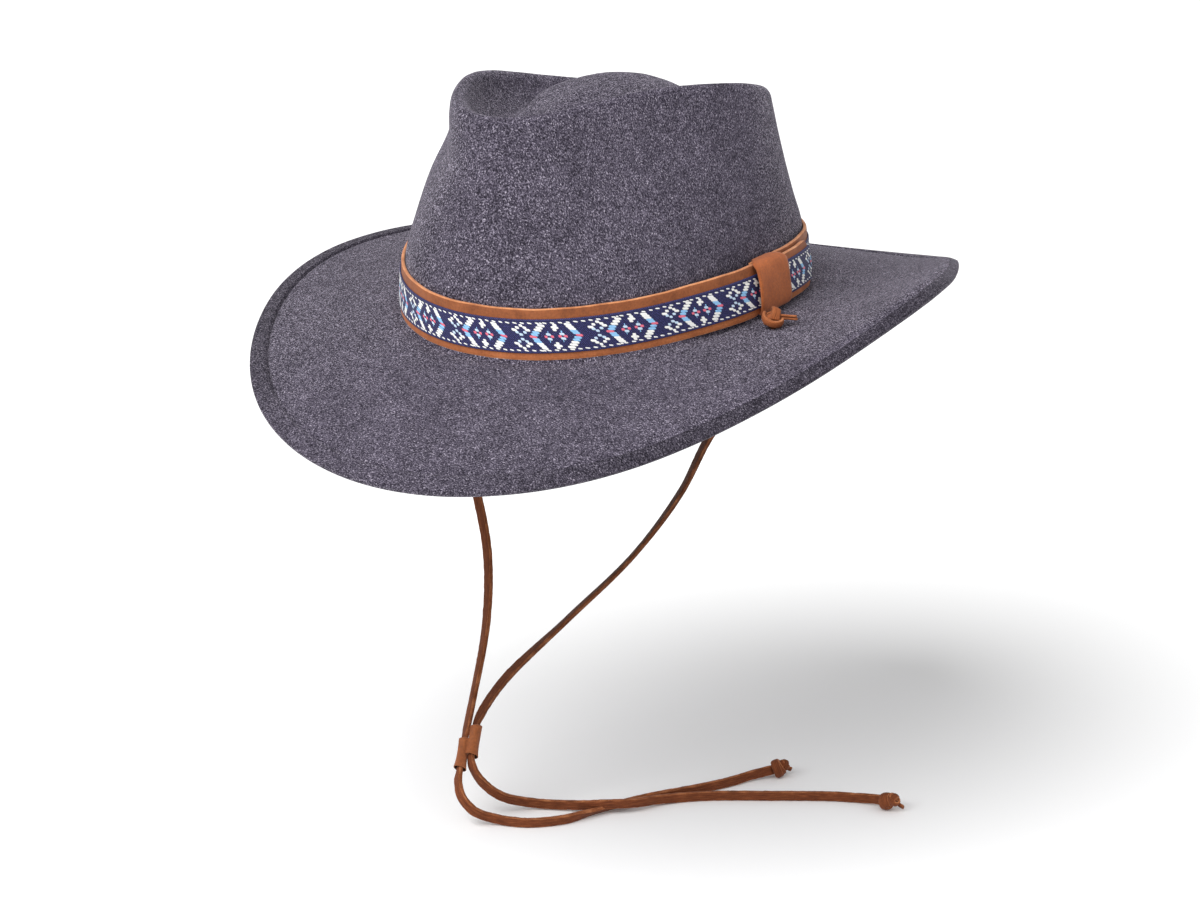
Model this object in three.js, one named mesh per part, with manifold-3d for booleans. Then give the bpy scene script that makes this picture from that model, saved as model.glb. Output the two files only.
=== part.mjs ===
// Blocked felt hat: pinched teardrop crown, dipped brim, strap-and-ribbon band held by a keeper,
// and two chin laces that run through a slider to knotted ends.
// Millimetres. Origin = centre of the head opening at the lower edge of the band.
// +Z up, front of the hat -Y, wearer's left +X. Angles run from the front (0) to the wearer's left (+90).
import * as THREE from 'three';
import { mergeVertices } from 'three/addons/utils/BufferGeometryUtils.js';
import Module from 'manifold-3d';

const wasm = await Module();
wasm.setup();

// ---------------------------------------------------------------- driving sizes
const RAD = Math.PI / 180;
const HEAD = { halfLength: 103.0, halfWidth: 89.9, power: 2.06, egg: 0.025 }; // outside of the strap, lower edge
const FELT = { wall: 2.2, foldWidth: 7.2, foldExtra: 2.2, edgeRound: 1.2 };    // folded strip under the brim edge
const BAND = { height: 23.6, strap: 1.6, gap: 0.3, ribbon: 0.5, marginLow: 3.0, marginHigh: 4.4, saddle: 3.4 };
const LEAN = { ends: 0.0096, sides: 0.1164 };                                  // inward lean of the band (radians)
const SEAT = { drop: 1.4, dropAtKeeper: 1.9 };                                 // brim lies this far under the strap
const PRESS = { centre: 95, full: 20, fade: 22, depth: 2.6, tuck: 1.0 };       // felt pressed in behind the keeper
const BUMP = { z: 97.8, back: 10.5, drop: 1.6 };                               // raised middle of the crown top
const KEEPER = { from: 80.9, to: 97.4, inner: 1.3, low: 1.1, high: 1.1, lift: 1.7 };
const TAIL = { start: 84, end: 479, riseFrom: 412, riseTo: 440 };              // band goes round once and overlaps
const HOLE = { diameter: 5.0, leftAt: [101.8, -18.4], rightAt: [-101.6, 10.7] };
const LACE = { diameter: 3.0, sides: 8, steps: 40, clear: 0.3 };
const SLIDER = { centre: [-47.6, -57.45, -217.6], axis: [-0.257, 0.674, 0.693], side: [0.913, 0.405, -0.055],
  halfSpacing: 2.35, stagger: 3.5, length: 15.5, bore: 3.6, outer: 5.3 };
const FLOOR = -251.5;                                                          // level the free ends lie on
const KNOT = { a: [57.7, 51.6], b: [123.6, 43.2], height: 4.7, anchor: 4.4 };
const GRID = { angles: 60 };

// crown and brim, one row every 30 degrees round the hat
const ROWS = [
  { deg: -150, crestR: 77.4, crestZ: 80.0,  shoulder: 5, bulge: 0.0,  pinch: 0.0, channelR: 54, channelDrop: 7,  brim: 69.1, edgeZ: -15.4, curl: 1.0 },
  { deg: -120, crestR: 69.0, crestZ: 88.2,  shoulder: 5, bulge: 0.0,  pinch: 0.0, channelR: 48, channelDrop: 12, brim: 74.1, edgeZ: -5.7,  curl: 2.0 },
  { deg: -90,  crestR: 62.8, crestZ: 96.9,  shoulder: 5, bulge: 0.6,  pinch: 0.0, channelR: 43, channelDrop: 17, brim: 77.2, edgeZ: -5.7,  curl: 2.0 },
  { deg: -60,  crestR: 62.0, crestZ: 100.5, shoulder: 5, bulge: 1.0,  pinch: 3.0, channelR: 40, channelDrop: 21, brim: 72.2, edgeZ: -14.7, curl: 1.0 },
  { deg: -30,  crestR: 70.8, crestZ: 100.1, shoulder: 5, bulge: 0.5,  pinch: 4.0, channelR: 44, channelDrop: 24, brim: 72.7, edgeZ: -30.0, curl: 0.0 },
  { deg: 0,    crestR: 80.2, crestZ: 100.3, shoulder: 4.2, bulge: 1.0,  pinch: 0.0, channelR: 55, channelDrop: 25, brim: 75.4, edgeZ: -41.2, curl: 0.0 },
  { deg: 30,   crestR: 70.3, crestZ: 105.6, shoulder: 3.8, bulge: 0.5,  pinch: 2.0, channelR: 45, channelDrop: 24, brim: 68.7, edgeZ: -31.7, curl: 0.0 },
  { deg: 60,   crestR: 60.5, crestZ: 107.8, shoulder: 3.8, bulge: 0.5,  pinch: 1.5, channelR: 40, channelDrop: 21, brim: 65.6, edgeZ: -8.4,  curl: 2.0 },
  { deg: 90,   crestR: 66.3, crestZ: 105.0, shoulder: 5, bulge: -0.5, pinch: 0.0, channelR: 44, channelDrop: 17, brim: 69.6, edgeZ: 12.0,  curl: 5.0 },
  { deg: 120,  crestR: 74.0, crestZ: 95.6,  shoulder: 5, bulge: -1.0, pinch: 0.0, channelR: 50, channelDrop: 12, brim: 69.8, edgeZ: 12.4,  curl: 5.0 },
  { deg: 150,  crestR: 80.2, crestZ: 83.5,  shoulder: 5, bulge: -0.5, pinch: 0.0, channelR: 55, channelDrop: 7,  brim: 70.2, edgeZ: -8.5,  curl: 2.0 },
  { deg: 180,  crestR: 82.6, crestZ: 77.0,  shoulder: 5, bulge: 0.0,  pinch: 0.0, channelR: 58, channelDrop: 6,  brim: 70.2, edgeZ: -21.5, curl: 0.5 },
];

// hanging and lying course of each lace, one row for each bend (z null = lying on the floor level)
const LEFT_COURSE = [
  { x: 101.8, y: -18.4, z: -7.0 },
  { x: 93.9, y: -18.7, z: -20.6 },
  { x: 70.6, y: -23.4, z: -53.2 },
  { x: 54.6, y: -24.1, z: -82.6 },
  { x: 27.4, y: -24.5, z: -118.4 },
  { x: -8.5, y: -28.3, z: -155.6 },
  { x: -40.5, y: -38.7, z: -190.5 },
  { slide: 1 },
  { x: -41.4, y: -61.6, z: -227.2 },
  { x: -37.5, y: -59.3, z: -234.0 },
  { x: -32.1, y: -53.2, z: -241.2 },
  { x: -24.8, y: -40.7, z: -247.5 },
  { x: -12.4, y: -33.8, z: -248.6 },
  { x: -0.1, y: -30.6, z: -247.3 },
  { x: 9.4, y: -26.9, z: -246.3 },
  { x: 19.8, y: -18.5, z: -246.6 },
  { x: 26.6, y: -4.5, z: -248.4 },
  { x: 39.7, y: 8.5, z: null },
  { x: 68.5, y: 25.4, z: null },
  { x: 98.1, y: 40.8, z: null },
  { x: 113.3, y: 45.0, z: -248.4 },
];
const RIGHT_COURSE = [
  { x: -101.6, y: 10.7, z: -10.0 },
  { x: -99.5, y: 4.5, z: -40.0 },
  { x: -81.0, y: -1.7, z: -93.5 },
  { x: -68.5, y: -7.1, z: -132.9 },
  { x: -63.9, y: -12.8, z: -150.7 },
  { x: -60.5, y: -20.5, z: -168.0 },
  { x: -58.2, y: -28.4, z: -181.2 },
  { x: -55.2, y: -41.0, z: -198.5 },
  { slide: -1 },
  { x: -47.4, y: -69.0, z: -231.2 },
  { x: -43.3, y: -71.5, z: -237.0 },
  { x: -36.5, y: -70.2, z: -243.2 },
  { x: -29.8, y: -63.6, z: -248.0 },
  { x: -14.3, y: -58.0, z: null },
  { x: -1.4, y: -46.7, z: null },
  { x: 6.3, y: -30.1, z: -250.0 },
  { x: 15.1, y: -11.5, z: -250.0 },
  { x: 27.6, y: 6.3, z: -249.4 },
  { x: 40.4, y: 25.4, z: null },
  { x: 48.7, y: 41.2, z: -248.4 },
];

// ---------------------------------------------------------------- round-the-hat functions
// smooth periodic curve through one column of ROWS
function ring(column) {
  const n = ROWS.length, terms = [];
  const mean = ROWS.reduce((s, r) => s + r[column], 0) / n;
  for (let k = 1; k <= n / 2; k++) {
    const w = k < n / 2 ? 2 / n : 1 / n;
    const a = w * ROWS.reduce((s, r) => s + r[column] * Math.cos(k * r.deg * RAD), 0);
    const b = k < n / 2 ? w * ROWS.reduce((s, r) => s + r[column] * Math.sin(k * r.deg * RAD), 0) : 0;
    terms.push([k, a, b]);
  }
  return (t) => terms.reduce((s, [k, a, b]) => s + a * Math.cos(k * t) + b * Math.sin(k * t), mean);
}
const R = Object.fromEntries(Object.keys(ROWS[0]).filter((c) => c !== 'deg').map((c) => [c, ring(c)]));

const smooth = (x) => { const t = Math.min(1, Math.max(0, x)); return t * t * (3 - 2 * t); };
const mix = (a, b, f) => a + (b - a) * f;

// egg-shaped band line
function oval(t) {
  const c = -Math.cos(t), s = Math.sin(t);
  const r = (Math.abs(c) ** HEAD.power / HEAD.halfLength ** HEAD.power
    + Math.abs(s) ** HEAD.power / HEAD.halfWidth ** HEAD.power) ** (-1 / HEAD.power);
  return [r * s * (1 + HEAD.egg * c), r * c];
}
function ovalFrame(t) {
  const [x, y] = oval(t), r = Math.hypot(x, y);
  const [x1, y1] = oval(t + 1e-3), [x0, y0] = oval(t - 1e-3);
  const l = Math.hypot(x1 - x0, y1 - y0);
  let nx = (y1 - y0) / l, ny = -(x1 - x0) / l;
  if (nx * x + ny * y < 0) { nx = -nx; ny = -ny; }
  return { r, ux: x / r, uy: y / r, nx, ny };
}
const seatZ = (t) => -BAND.saddle * Math.cos(2 * t);
const lean = (t) => Math.tan(LEAN.ends * Math.cos(t) ** 2 + LEAN.sides * Math.sin(t) ** 2);
// 1 behind the keeper, 0 away from it
function press(t) {
  let d = Math.abs((((t / RAD - PRESS.centre) % 360) + 540) % 360 - 180);
  return 1 - smooth((d - PRESS.full) / PRESS.fade);
}
// felt wall line behind the band before pressing, at height h over the band's lower edge
const wallR = (t, h) => ovalFrame(t).r - BAND.strap - BAND.gap - 0.2 - h * lean(t);

// ---------------------------------------------------------------- felt outer surface
const CROWN_SEGMENTS = 14;
function stations(t) {
  const f = ovalFrame(t), cr = R.crestR(t), cz = R.crestZ(t), sh = R.shoulder(t);
  const chR = R.channelR(t), drop = R.channelDrop(t), chZ = cz - drop, w = press(t), zj = seatZ(t);
  const at = (rho, z, back = 0) => [f.ux * rho, f.uy * rho + back, z];
  const p = [
    at(0, BUMP.z, BUMP.back),
    at(0.38 * chR, BUMP.z - BUMP.drop, BUMP.back * 0.8),
    at(0.72 * chR, mix(chZ, BUMP.z, 0.62), BUMP.back * 0.4),
    at(chR, chZ),
    at(cr - (cr - chR) * 0.42, cz - drop * 0.55),
    at(cr - sh * 0.75, cz - sh * 0.22),
    at(cr, cz),
    at(cr + sh * 0.5, cz - sh * 0.5),
  ];
  const topH = BAND.height + 1.8, midH = 14.6, lowH = 1.6;
  const r1 = cr + sh * 0.75, z1 = cz - sh * 1.6, r2 = wallR(t, topH), z2 = zj + topH;
  p.push(at(r1, z1));
  for (const g of [0.22, 0.48, 0.75]) {
    const pinch = R.pinch(t) * Math.exp(-(((g - 0.12) / 0.28) ** 2));
    const held = g > 0.7 ? 0.35 * PRESS.depth * w : 0;
    p.push(at(mix(r1, r2, g) + R.bulge(t) * 4 * g * (1 - g) - pinch - held, mix(z1, z2, g)));
  }
  for (const h of [topH, midH, lowH]) p.push(at(wallR(t, h) - PRESS.depth * w, zj + h));
  return p;
}
const sub = (a, b) => a.map((v, i) => v - b[i]);
const len = (a) => Math.hypot(...a);
// u 0..14 runs from the middle of the crown top down to the brim, 14..15 across the brim
const stationCache = new Map();
function feltOuter(t, u) {
  if (u >= CROWN_SEGMENTS) return brimTop(t, u - CROWN_SEGMENTS);
  if (!stationCache.has(t)) stationCache.set(t, stations(t));
  const p = stationCache.get(t), i = Math.min(Math.floor(u), CROWN_SEGMENTS - 1), s = u - i;
  const p1 = p[i], p2 = p[i + 1];
  if (i >= 12) return p1.map((v, k) => mix(v, p2[k], s));
  const tangent = (a, b, c) => {
    const t0 = Math.sqrt(len(sub(b, a))) + 1e-6, t1 = Math.sqrt(len(sub(c, b))) + 1e-6;
    return b.map((v, k) => (v - a[k]) / t0 - (c[k] - a[k]) / (t0 + t1) + (c[k] - v) / t1);
  };
  const span = Math.sqrt(len(sub(p2, p1)));
  const m1 = i === 0 ? [p2[0] - p1[0], p2[1] - p1[1], 0] : tangent(p[i - 1], p1, p2).map((v) => v * span);
  const m2 = tangent(p1, p2, p[i + 2]).map((v) => v * span);
  const a = 2 * s ** 3 - 3 * s ** 2 + 1, b = s ** 3 - 2 * s ** 2 + s, c = -2 * s ** 3 + 3 * s ** 2, d = s ** 3 - s ** 2;
  return p1.map((v, k) => a * v + b * m1[k] + c * p2[k] + d * m2[k]);
}
function brimTop(t, q) {
  const f = ovalFrame(t), w = press(t), zj = seatZ(t);
  const start = wallR(t, 0) - PRESS.depth * w, width = R.brim(t) + PRESS.depth * w, run = q * width;
  const z0 = zj - mix(SEAT.drop, SEAT.dropAtKeeper, w), edge = R.edgeZ(t), curl = R.curl(t);
  const root = mix(1.6, 0.2, w) * Math.exp(-run / 0.8);
  return [f.ux * start + f.nx * run, f.uy * start + f.ny * run,
    z0 + (edge - z0 - curl) * q ** 1.45 + curl * q ** 4 + root];
}
function feltNormal(t, u) {
  const e = 1e-3, top = CROWN_SEGMENTS + 1;
  const u0 = Math.max(u - e, u < CROWN_SEGMENTS ? 0.02 : CROWN_SEGMENTS), u1 = Math.min(Math.max(u, 0.02) + e, u < CROWN_SEGMENTS ? CROWN_SEGMENTS - 1e-6 : top);
  const a = sub(feltOuter(t, u1), feltOuter(t, u0)), b = sub(feltOuter(t + e, Math.max(u, 0.02)), feltOuter(t - e, Math.max(u, 0.02)));
  const n = [b[1] * a[2] - b[2] * a[1], b[2] * a[0] - b[0] * a[2], b[0] * a[1] - b[1] * a[0]];
  const l = len(n) || 1;
  const v = n.map((c) => c / l);
  const out = u < 9 || u > CROWN_SEGMENTS ? v[2] : v[0] * Math.sin(t) - v[1] * Math.cos(t);
  return out < 0 ? v.map((c) => -c) : v;
}

// ---------------------------------------------------------------- felt as one closed shell
const CROWN_RINGS = [0.6, 1, 1.5, 2, 2.5, 3, 3.5, 4, 4.6, 5, 6, 7, 8, 9, 10, 11, 12, 13, 14];
function brimRings(t) {
  const width = R.brim(t) + PRESS.depth * press(t);
  const fromRoot = [0.001, 1.0, 3.2, 9, 18, 31, 45];
  const fromEdge = [FELT.foldWidth + 1.2, FELT.foldWidth, 4.0, 0.9, 0];
  return [...fromRoot.map((r) => r / width), ...fromEdge.map((r) => 1 - r / width)].map((q) => CROWN_SEGMENTS + q);
}
function shell() {
  const pos = [], n = GRID.angles, rings = [];
  const addRing = (f) => {
    const ids = [];
    for (let i = 0; i < n; i++) { const p = f((i / n) * 2 * Math.PI); ids.push(pos.length / 3); pos.push(...p); }
    rings.push(ids);
  };
  const thick = (t, u) => {
    if (u <= CROWN_SEGMENTS) return FELT.wall;
    const width = R.brim(t) + PRESS.depth * press(t), fromEdge = (CROWN_SEGMENTS + 1 - u) * width;
    return FELT.wall + (fromEdge <= FELT.foldWidth + 0.01 ? FELT.foldExtra - (fromEdge < 0.5 ? 1.0 : 0) : 0);
  };
  const inner = (t, u) => {
    const p = feltOuter(t, u), m = feltNormal(t, u === CROWN_SEGMENTS ? u - 0.01 : u), d = thick(t, u);
    return p.map((v, k) => v - m[k] * d);
  };
  const count = CROWN_RINGS.length + brimRings(0).length;
  const uAt = (t, j) => (j < CROWN_RINGS.length ? CROWN_RINGS[j] : brimRings(t)[j - CROWN_RINGS.length]);
  const top = 0; pos.push(0, BUMP.back, BUMP.z);
  for (let j = 0; j < count; j++) {
    const last = j === count - 1;
    addRing((t) => { const p = feltOuter(t, uAt(t, j)); if (last) p[2] -= 0.5; return p; });
  }
  addRing((t) => {                                            // rounded brim edge
    const f = ovalFrame(t), a = feltOuter(t, CROWN_SEGMENTS + 1), b = inner(t, CROWN_SEGMENTS + 1);
    return [(a[0] + b[0]) / 2 + f.nx * FELT.edgeRound, (a[1] + b[1]) / 2 + f.ny * FELT.edgeRound, (a[2] + b[2]) / 2];
  });
  // the run across the foot of the crown is skipped inside, so the corner stays clean
  const skipped = (j) => j === CROWN_RINGS.length || j === CROWN_RINGS.length + 1 || j === CROWN_RINGS.length - 1;
  for (let j = count - 1; j >= 0; j--) if (!skipped(j)) addRing((t) => inner(t, uAt(t, j)));
  const bottom = pos.length / 3; pos.push(0, BUMP.back, BUMP.z - FELT.wall);
  const idx = [];
  for (let i = 0; i < n; i++) {
    const k = (i + 1) % n;
    idx.push(top, rings[0][i], rings[0][k]);
    for (let j = 0; j + 1 < rings.length; j++) {
      idx.push(rings[j][i], rings[j + 1][i], rings[j + 1][k], rings[j][i], rings[j + 1][k], rings[j][k]);
    }
    idx.push(bottom, rings[rings.length - 1][k], rings[rings.length - 1][i]);
  }
  const g = new THREE.BufferGeometry();
  g.setAttribute('position', new THREE.Float32BufferAttribute(pos, 3));
  g.setIndex(idx);
  return g;
}

// ---------------------------------------------------------------- solids by boolean
function solid(geometry) {
  let g = geometry.clone();
  g.deleteAttribute('normal'); g.deleteAttribute('uv');
  g = mergeVertices(g, 1e-4);
  return new wasm.Manifold(new wasm.Mesh({ numProp: 3, vertProperties: new Float32Array(g.attributes.position.array), triVerts: new Uint32Array(g.index.array) }));
}
function back(man) {
  const m = man.getMesh(), g = new THREE.BufferGeometry();
  g.setAttribute('position', new THREE.BufferAttribute(new Float32Array(m.vertProperties), 3));
  g.setIndex(new THREE.BufferAttribute(new Uint32Array(m.triVerts), 1));
  return g;
}
const union = (...gs) => back(gs.map(solid).reduce((a, b) => a.add(b)));
const placed = (g, { at = [0, 0, 0], scale = [1, 1, 1], turn = null } = {}) => {
  g.scale(...scale);
  if (turn) g.applyQuaternion(turn);
  g.translate(...at);
  return g;
};
const alignZ = (dir) => new THREE.Quaternion().setFromUnitVectors(new THREE.Vector3(0, 0, 1), new THREE.Vector3(...dir).normalize());

// ---------------------------------------------------------------- strips bent round the band line
// degrees: list of stations; offset(t) from the unpressed felt wall; lo/hi heights over the lower edge
function strip(degrees, offset, thickness, lo, hi) {
  const pos = [], idx = [];
  for (const d of degrees) {
    const t = d * RAD, f = ovalFrame(t), o = offset(d, t), zj = seatZ(t);
    for (const [side, h] of [[0, lo], [0, hi], [1, hi], [1, lo]]) {
      const r = wallR(t, h) + o + side * thickness;
      pos.push(f.ux * r, f.uy * r, zj + h);
    }
  }
  const m = degrees.length;
  for (let i = 0; i + 1 < m; i++) {
    for (let c = 0; c < 4; c++) {
      const a = i * 4 + c, b = i * 4 + (c + 1) % 4, e = a + 4, g = b + 4;
      idx.push(a, b, g, a, g, e);
    }
  }
  idx.push(0, 2, 1, 0, 3, 2);
  const z = (m - 1) * 4;
  idx.push(z, z + 1, z + 2, z, z + 2, z + 3);
  const g = new THREE.BufferGeometry();
  g.setAttribute('position', new THREE.Float32BufferAttribute(pos, 3));
  g.setIndex(idx);
  return g;
}
const bandLift = (d, t) => (d > 250
  ? BAND.gap + KEEPER.lift * smooth((d - TAIL.riseFrom) / (TAIL.riseTo - TAIL.riseFrom))
  : BAND.gap - PRESS.tuck * press(t));
const bandStations = () => {
  const out = [TAIL.start];
  for (let d = Math.ceil((TAIL.start + 1) / 6) * 6; d < TAIL.end - 0.5; d += 6) out.push(d);
  out.push(TAIL.end);
  return out;
};
function keeperGeometry() {
  const span = [KEEPER.from, 84, 90, KEEPER.to];
  const inside = BAND.gap - PRESS.tuck - BAND.gap;                             // inner face of the opening
  const outside = BAND.gap + KEEPER.lift + BAND.strap + BAND.gap + BAND.ribbon + BAND.gap;
  const rows = span.map((d) => {
    const t = d * RAD, f = ovalFrame(t), zj = seatZ(t);
    const at = (off, h) => { const r = wallR(t, h) + off; return [f.ux * r, f.uy * r, zj + h]; };
    const lo = -BAND.gap, hi = BAND.height + BAND.gap;
    return {
      hole: [at(inside, lo), at(inside, hi), at(outside, hi), at(outside, lo)],
      skin: [at(inside - KEEPER.inner, lo - KEEPER.low), at(inside - KEEPER.inner, hi + KEEPER.high),
        at(outside + KEEPER.inner, hi + KEEPER.high), at(outside + KEEPER.inner, lo - KEEPER.low)],
    };
  });
  const pos = [], idx = [];
  for (const r of rows) for (const p of [...r.skin, ...r.hole]) pos.push(...p);
  for (let i = 0; i + 1 < rows.length; i++) {
    for (let c = 0; c < 4; c++) {
      const n = (c + 1) % 4, s = i * 8;
      idx.push(s + c, s + n, s + n + 8, s + c, s + n + 8, s + c + 8);
      idx.push(s + 4 + c, s + 4 + n + 8, s + 4 + n, s + 4 + c, s + 4 + c + 8, s + 4 + n + 8);
    }
  }
  for (let c = 0; c < 4; c++) {
    const n = (c + 1) % 4, e = (rows.length - 1) * 8;
    idx.push(c, 4 + n, n, c, 4 + c, 4 + n);
    idx.push(e + c, e + n, e + 4 + n, e + c, e + 4 + n, e + 4 + c);
  }
  const g = new THREE.BufferGeometry();
  g.setAttribute('position', new THREE.Float32BufferAttribute(pos, 3));
  g.setIndex(idx);
  return g;
}

// ---------------------------------------------------------------- knots, slider, laces
function brimHeightAt(x, y) {
  const t = Math.atan2(x, -y);
  let best = [1e9, 0];
  for (let dt = -0.12; dt <= 0.12; dt += 0.01) {
    for (let q = 0.1; q < 0.4; q += 0.005) {
      const p = brimTop(t + dt, q), d = Math.hypot(p[0] - x, p[1] - y);
      if (d < best[0]) best = [d, p[2]];
    }
  }
  return best[1];
}
function knotGeometry({ at, axis, tail, size, tailLength }) {
  const core = placed(new THREE.SphereGeometry(size * 0.9, 12, 8), { at, scale: [1, 1, 0.95] });
  const wrap = placed(new THREE.TorusGeometry(size * 0.56, size * 0.4, 6, 12), { turn: alignZ(axis), at });
  const dir = new THREE.Vector3(...tail).normalize();
  const tip = placed(new THREE.BoxGeometry(3.6, 1.8, tailLength), { turn: alignZ(tail),
    at: dir.clone().multiplyScalar(tailLength / 2).add(new THREE.Vector3(...at)).toArray() });
  return union(core, wrap, tip);
}
const anchorAt = ([x, y]) => [x, y, brimHeightAt(x, y) + 0.4 + KNOT.anchor];
const slideAxis = new THREE.Vector3(...SLIDER.axis).normalize();
const slideSide = new THREE.Vector3(...SLIDER.side).addScaledVector(slideAxis, -new THREE.Vector3(...SLIDER.side).dot(slideAxis)).normalize();
const channel = (sign) => new THREE.Vector3(...SLIDER.centre)
  .addScaledVector(slideSide, sign * SLIDER.halfSpacing).addScaledVector(slideAxis, sign * SLIDER.stagger);
function sliderGeometry() {
  const tube = (sign, diameter, length, at = 0) => {
    const g = new THREE.CylinderGeometry(diameter / 2, diameter / 2, length, 14);
    g.rotateX(Math.PI / 2);
    return solid(placed(g, { turn: alignZ(slideAxis.toArray()), at: channel(sign).addScaledVector(slideAxis, at).toArray() }));
  };
  let body = tube(1, SLIDER.outer, SLIDER.length).add(tube(-1, SLIDER.outer, SLIDER.length));
  body = body.subtract(tube(1, SLIDER.bore, SLIDER.length + 8)).subtract(tube(-1, SLIDER.bore, SLIDER.length + 8));
  return back(body);
}
function laceCourse(rows, hole, knot) {
  const pts = [new THREE.Vector3(hole[0], hole[1], brimHeightAt(...hole))];
  for (const r of rows) {
    if (r.slide) {
      for (const s of [1, 0, -1]) pts.push(channel(r.slide).addScaledVector(slideAxis, s * (SLIDER.length / 2 + 1.8)));
    } else pts.push(new THREE.Vector3(r.x, r.y, r.z ?? FLOOR + 2.3));
  }
  const end = new THREE.Vector3(...knot), from = pts[pts.length - 1].clone().sub(end).normalize();
  pts.push(end.addScaledVector(from, KNOT.height + 0.45));
  return new THREE.CatmullRomCurve3(pts, false, 'centripetal');
}
function laceGeometry(curve, sign) {
  const shape = new THREE.Shape();
  for (let i = 0; i < LACE.sides; i++) {
    const a = (i / LACE.sides) * 2 * Math.PI;
    shape[i ? 'lineTo' : 'moveTo'](Math.cos(a) * LACE.diameter / 2, Math.sin(a) * LACE.diameter / 2);
  }
  shape.closePath();
  // steps are evened out on each side of the slider, with one at each end of its channel
  curve.arcLengthDivisions = 800;
  const total = curve.getLength(), middle = channel(sign);
  let best = [1e9, 0];
  for (let s = 0; s <= total; s += 0.5) best = [best, [curve.getPointAt(s / total).distanceTo(middle), s]].sort((p, q) => p[0] - q[0])[0];
  const half = SLIDER.length / 2 + 1.5, before = best[1] - half, after = total - best[1] - half;
  const n1 = Math.round((LACE.steps - 2) * before / (before + after)), n2 = LACE.steps - 2 - n1;
  const marks = [];
  for (let i = 0; i <= n1; i++) marks.push((before * i) / n1);
  marks.push(best[1]);
  for (let i = 0; i <= n2; i++) marks.push(best[1] + half + (after * i) / n2);
  const warp = (u) => {
    const k = Math.min(Math.floor(u * LACE.steps + 1e-9), LACE.steps - 1), f = u * LACE.steps - k;
    return Math.min(1, Math.max(0, mix(marks[k], marks[k + 1], f) / total));
  };
  const path = new THREE.Curve();
  path.getPoint = (u) => curve.getPointAt(warp(u));
  path.getPointAt = path.getPoint;
  path.getTangentAt = (u) => curve.getTangentAt(warp(u));
  return new THREE.ExtrudeGeometry(shape, { steps: LACE.steps, extrudePath: path, bevelEnabled: false });
}

// ---------------------------------------------------------------- assembly
const felt = new THREE.MeshStandardMaterial({ color: 0x61596a, roughness: 0.95, metalness: 0 });
const tan = new THREE.MeshStandardMaterial({ color: 0xb4703f, roughness: 0.6, metalness: 0 });
const saddle = new THREE.MeshStandardMaterial({ color: 0x9a5a38, roughness: 0.55, metalness: 0 });
const cord = new THREE.MeshStandardMaterial({ color: 0x7a472c, roughness: 0.7, metalness: 0 });
const woven = new THREE.MeshStandardMaterial({ color: 0x23235a, roughness: 0.85, metalness: 0 });

function feltGeometry() {
  let body = solid(shell());
  for (const [x, y] of [HOLE.leftAt, HOLE.rightAt]) {
    const g = new THREE.CylinderGeometry(HOLE.diameter / 2, HOLE.diameter / 2, 16, 16);
    g.rotateX(Math.PI / 2);
    body = body.subtract(solid(placed(g, { at: [x, y, brimHeightAt(x, y)] })));
  }
  return back(body);
}

const knotA = [...KNOT.a, FLOOR + KNOT.height], knotB = [...KNOT.b, FLOOR + KNOT.height];
const leftCurve = laceCourse(LEFT_COURSE, HOLE.leftAt, knotB);
const rightCurve = laceCourse(RIGHT_COURSE, HOLE.rightAt, knotA);

const nodes = {
  felt_body: [feltGeometry(), felt],
  band_strap: [strip(bandStations(), bandLift, BAND.strap, 0, BAND.height), tan],
  band_ribbon: [strip(bandStations(), (d, t) => bandLift(d, t) + BAND.strap + BAND.gap, BAND.ribbon,
    BAND.marginLow, BAND.height - BAND.marginHigh), woven],
  keeper: [keeperGeometry(), saddle],
  anchor_knot_left: [knotGeometry({ at: anchorAt(HOLE.leftAt), axis: [0.5, 1, 0.2], tail: [0.83, 0.56, 0.05], size: KNOT.anchor, tailLength: 10 }), cord],
  anchor_knot_right: [knotGeometry({ at: anchorAt(HOLE.rightAt), axis: [-0.5, 1, 0.2], tail: [-0.8, -0.6, 0.05], size: KNOT.anchor, tailLength: 10 }), cord],
  chin_lace_left: [laceGeometry(leftCurve, 1), cord],
  chin_lace_right: [laceGeometry(rightCurve, -1), cord],
  lace_slider: [sliderGeometry(), saddle],
  end_knot_a: [knotGeometry({ at: knotA, axis: [0.5, 1, 0], tail: [0.9, -0.35, -0.12], size: KNOT.height, tailLength: 9 }), cord],
  end_knot_b: [knotGeometry({ at: knotB, axis: [1, 0.1, 0], tail: [0.8, -0.5, -0.12], size: KNOT.height, tailLength: 9 }), cord],
};

const hat = new THREE.Group();
hat.name = 'felt_hat';
for (const [name, [geometry, material]] of Object.entries(nodes)) {
  const mesh = new THREE.Mesh(geometry, material);
  mesh.name = name;
  hat.add(mesh);
}
export default hat;
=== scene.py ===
# Felt hat with strap-and-ribbon band and flat leather chin laces.
# Working unit in this script is the millimetre; meshes are written in metres.
# Origin: centre of the head opening. +Z up, front of the hat -Y, wearer's left +X.
import math
import bpy
import numpy as np
from mathutils import Matrix


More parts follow.
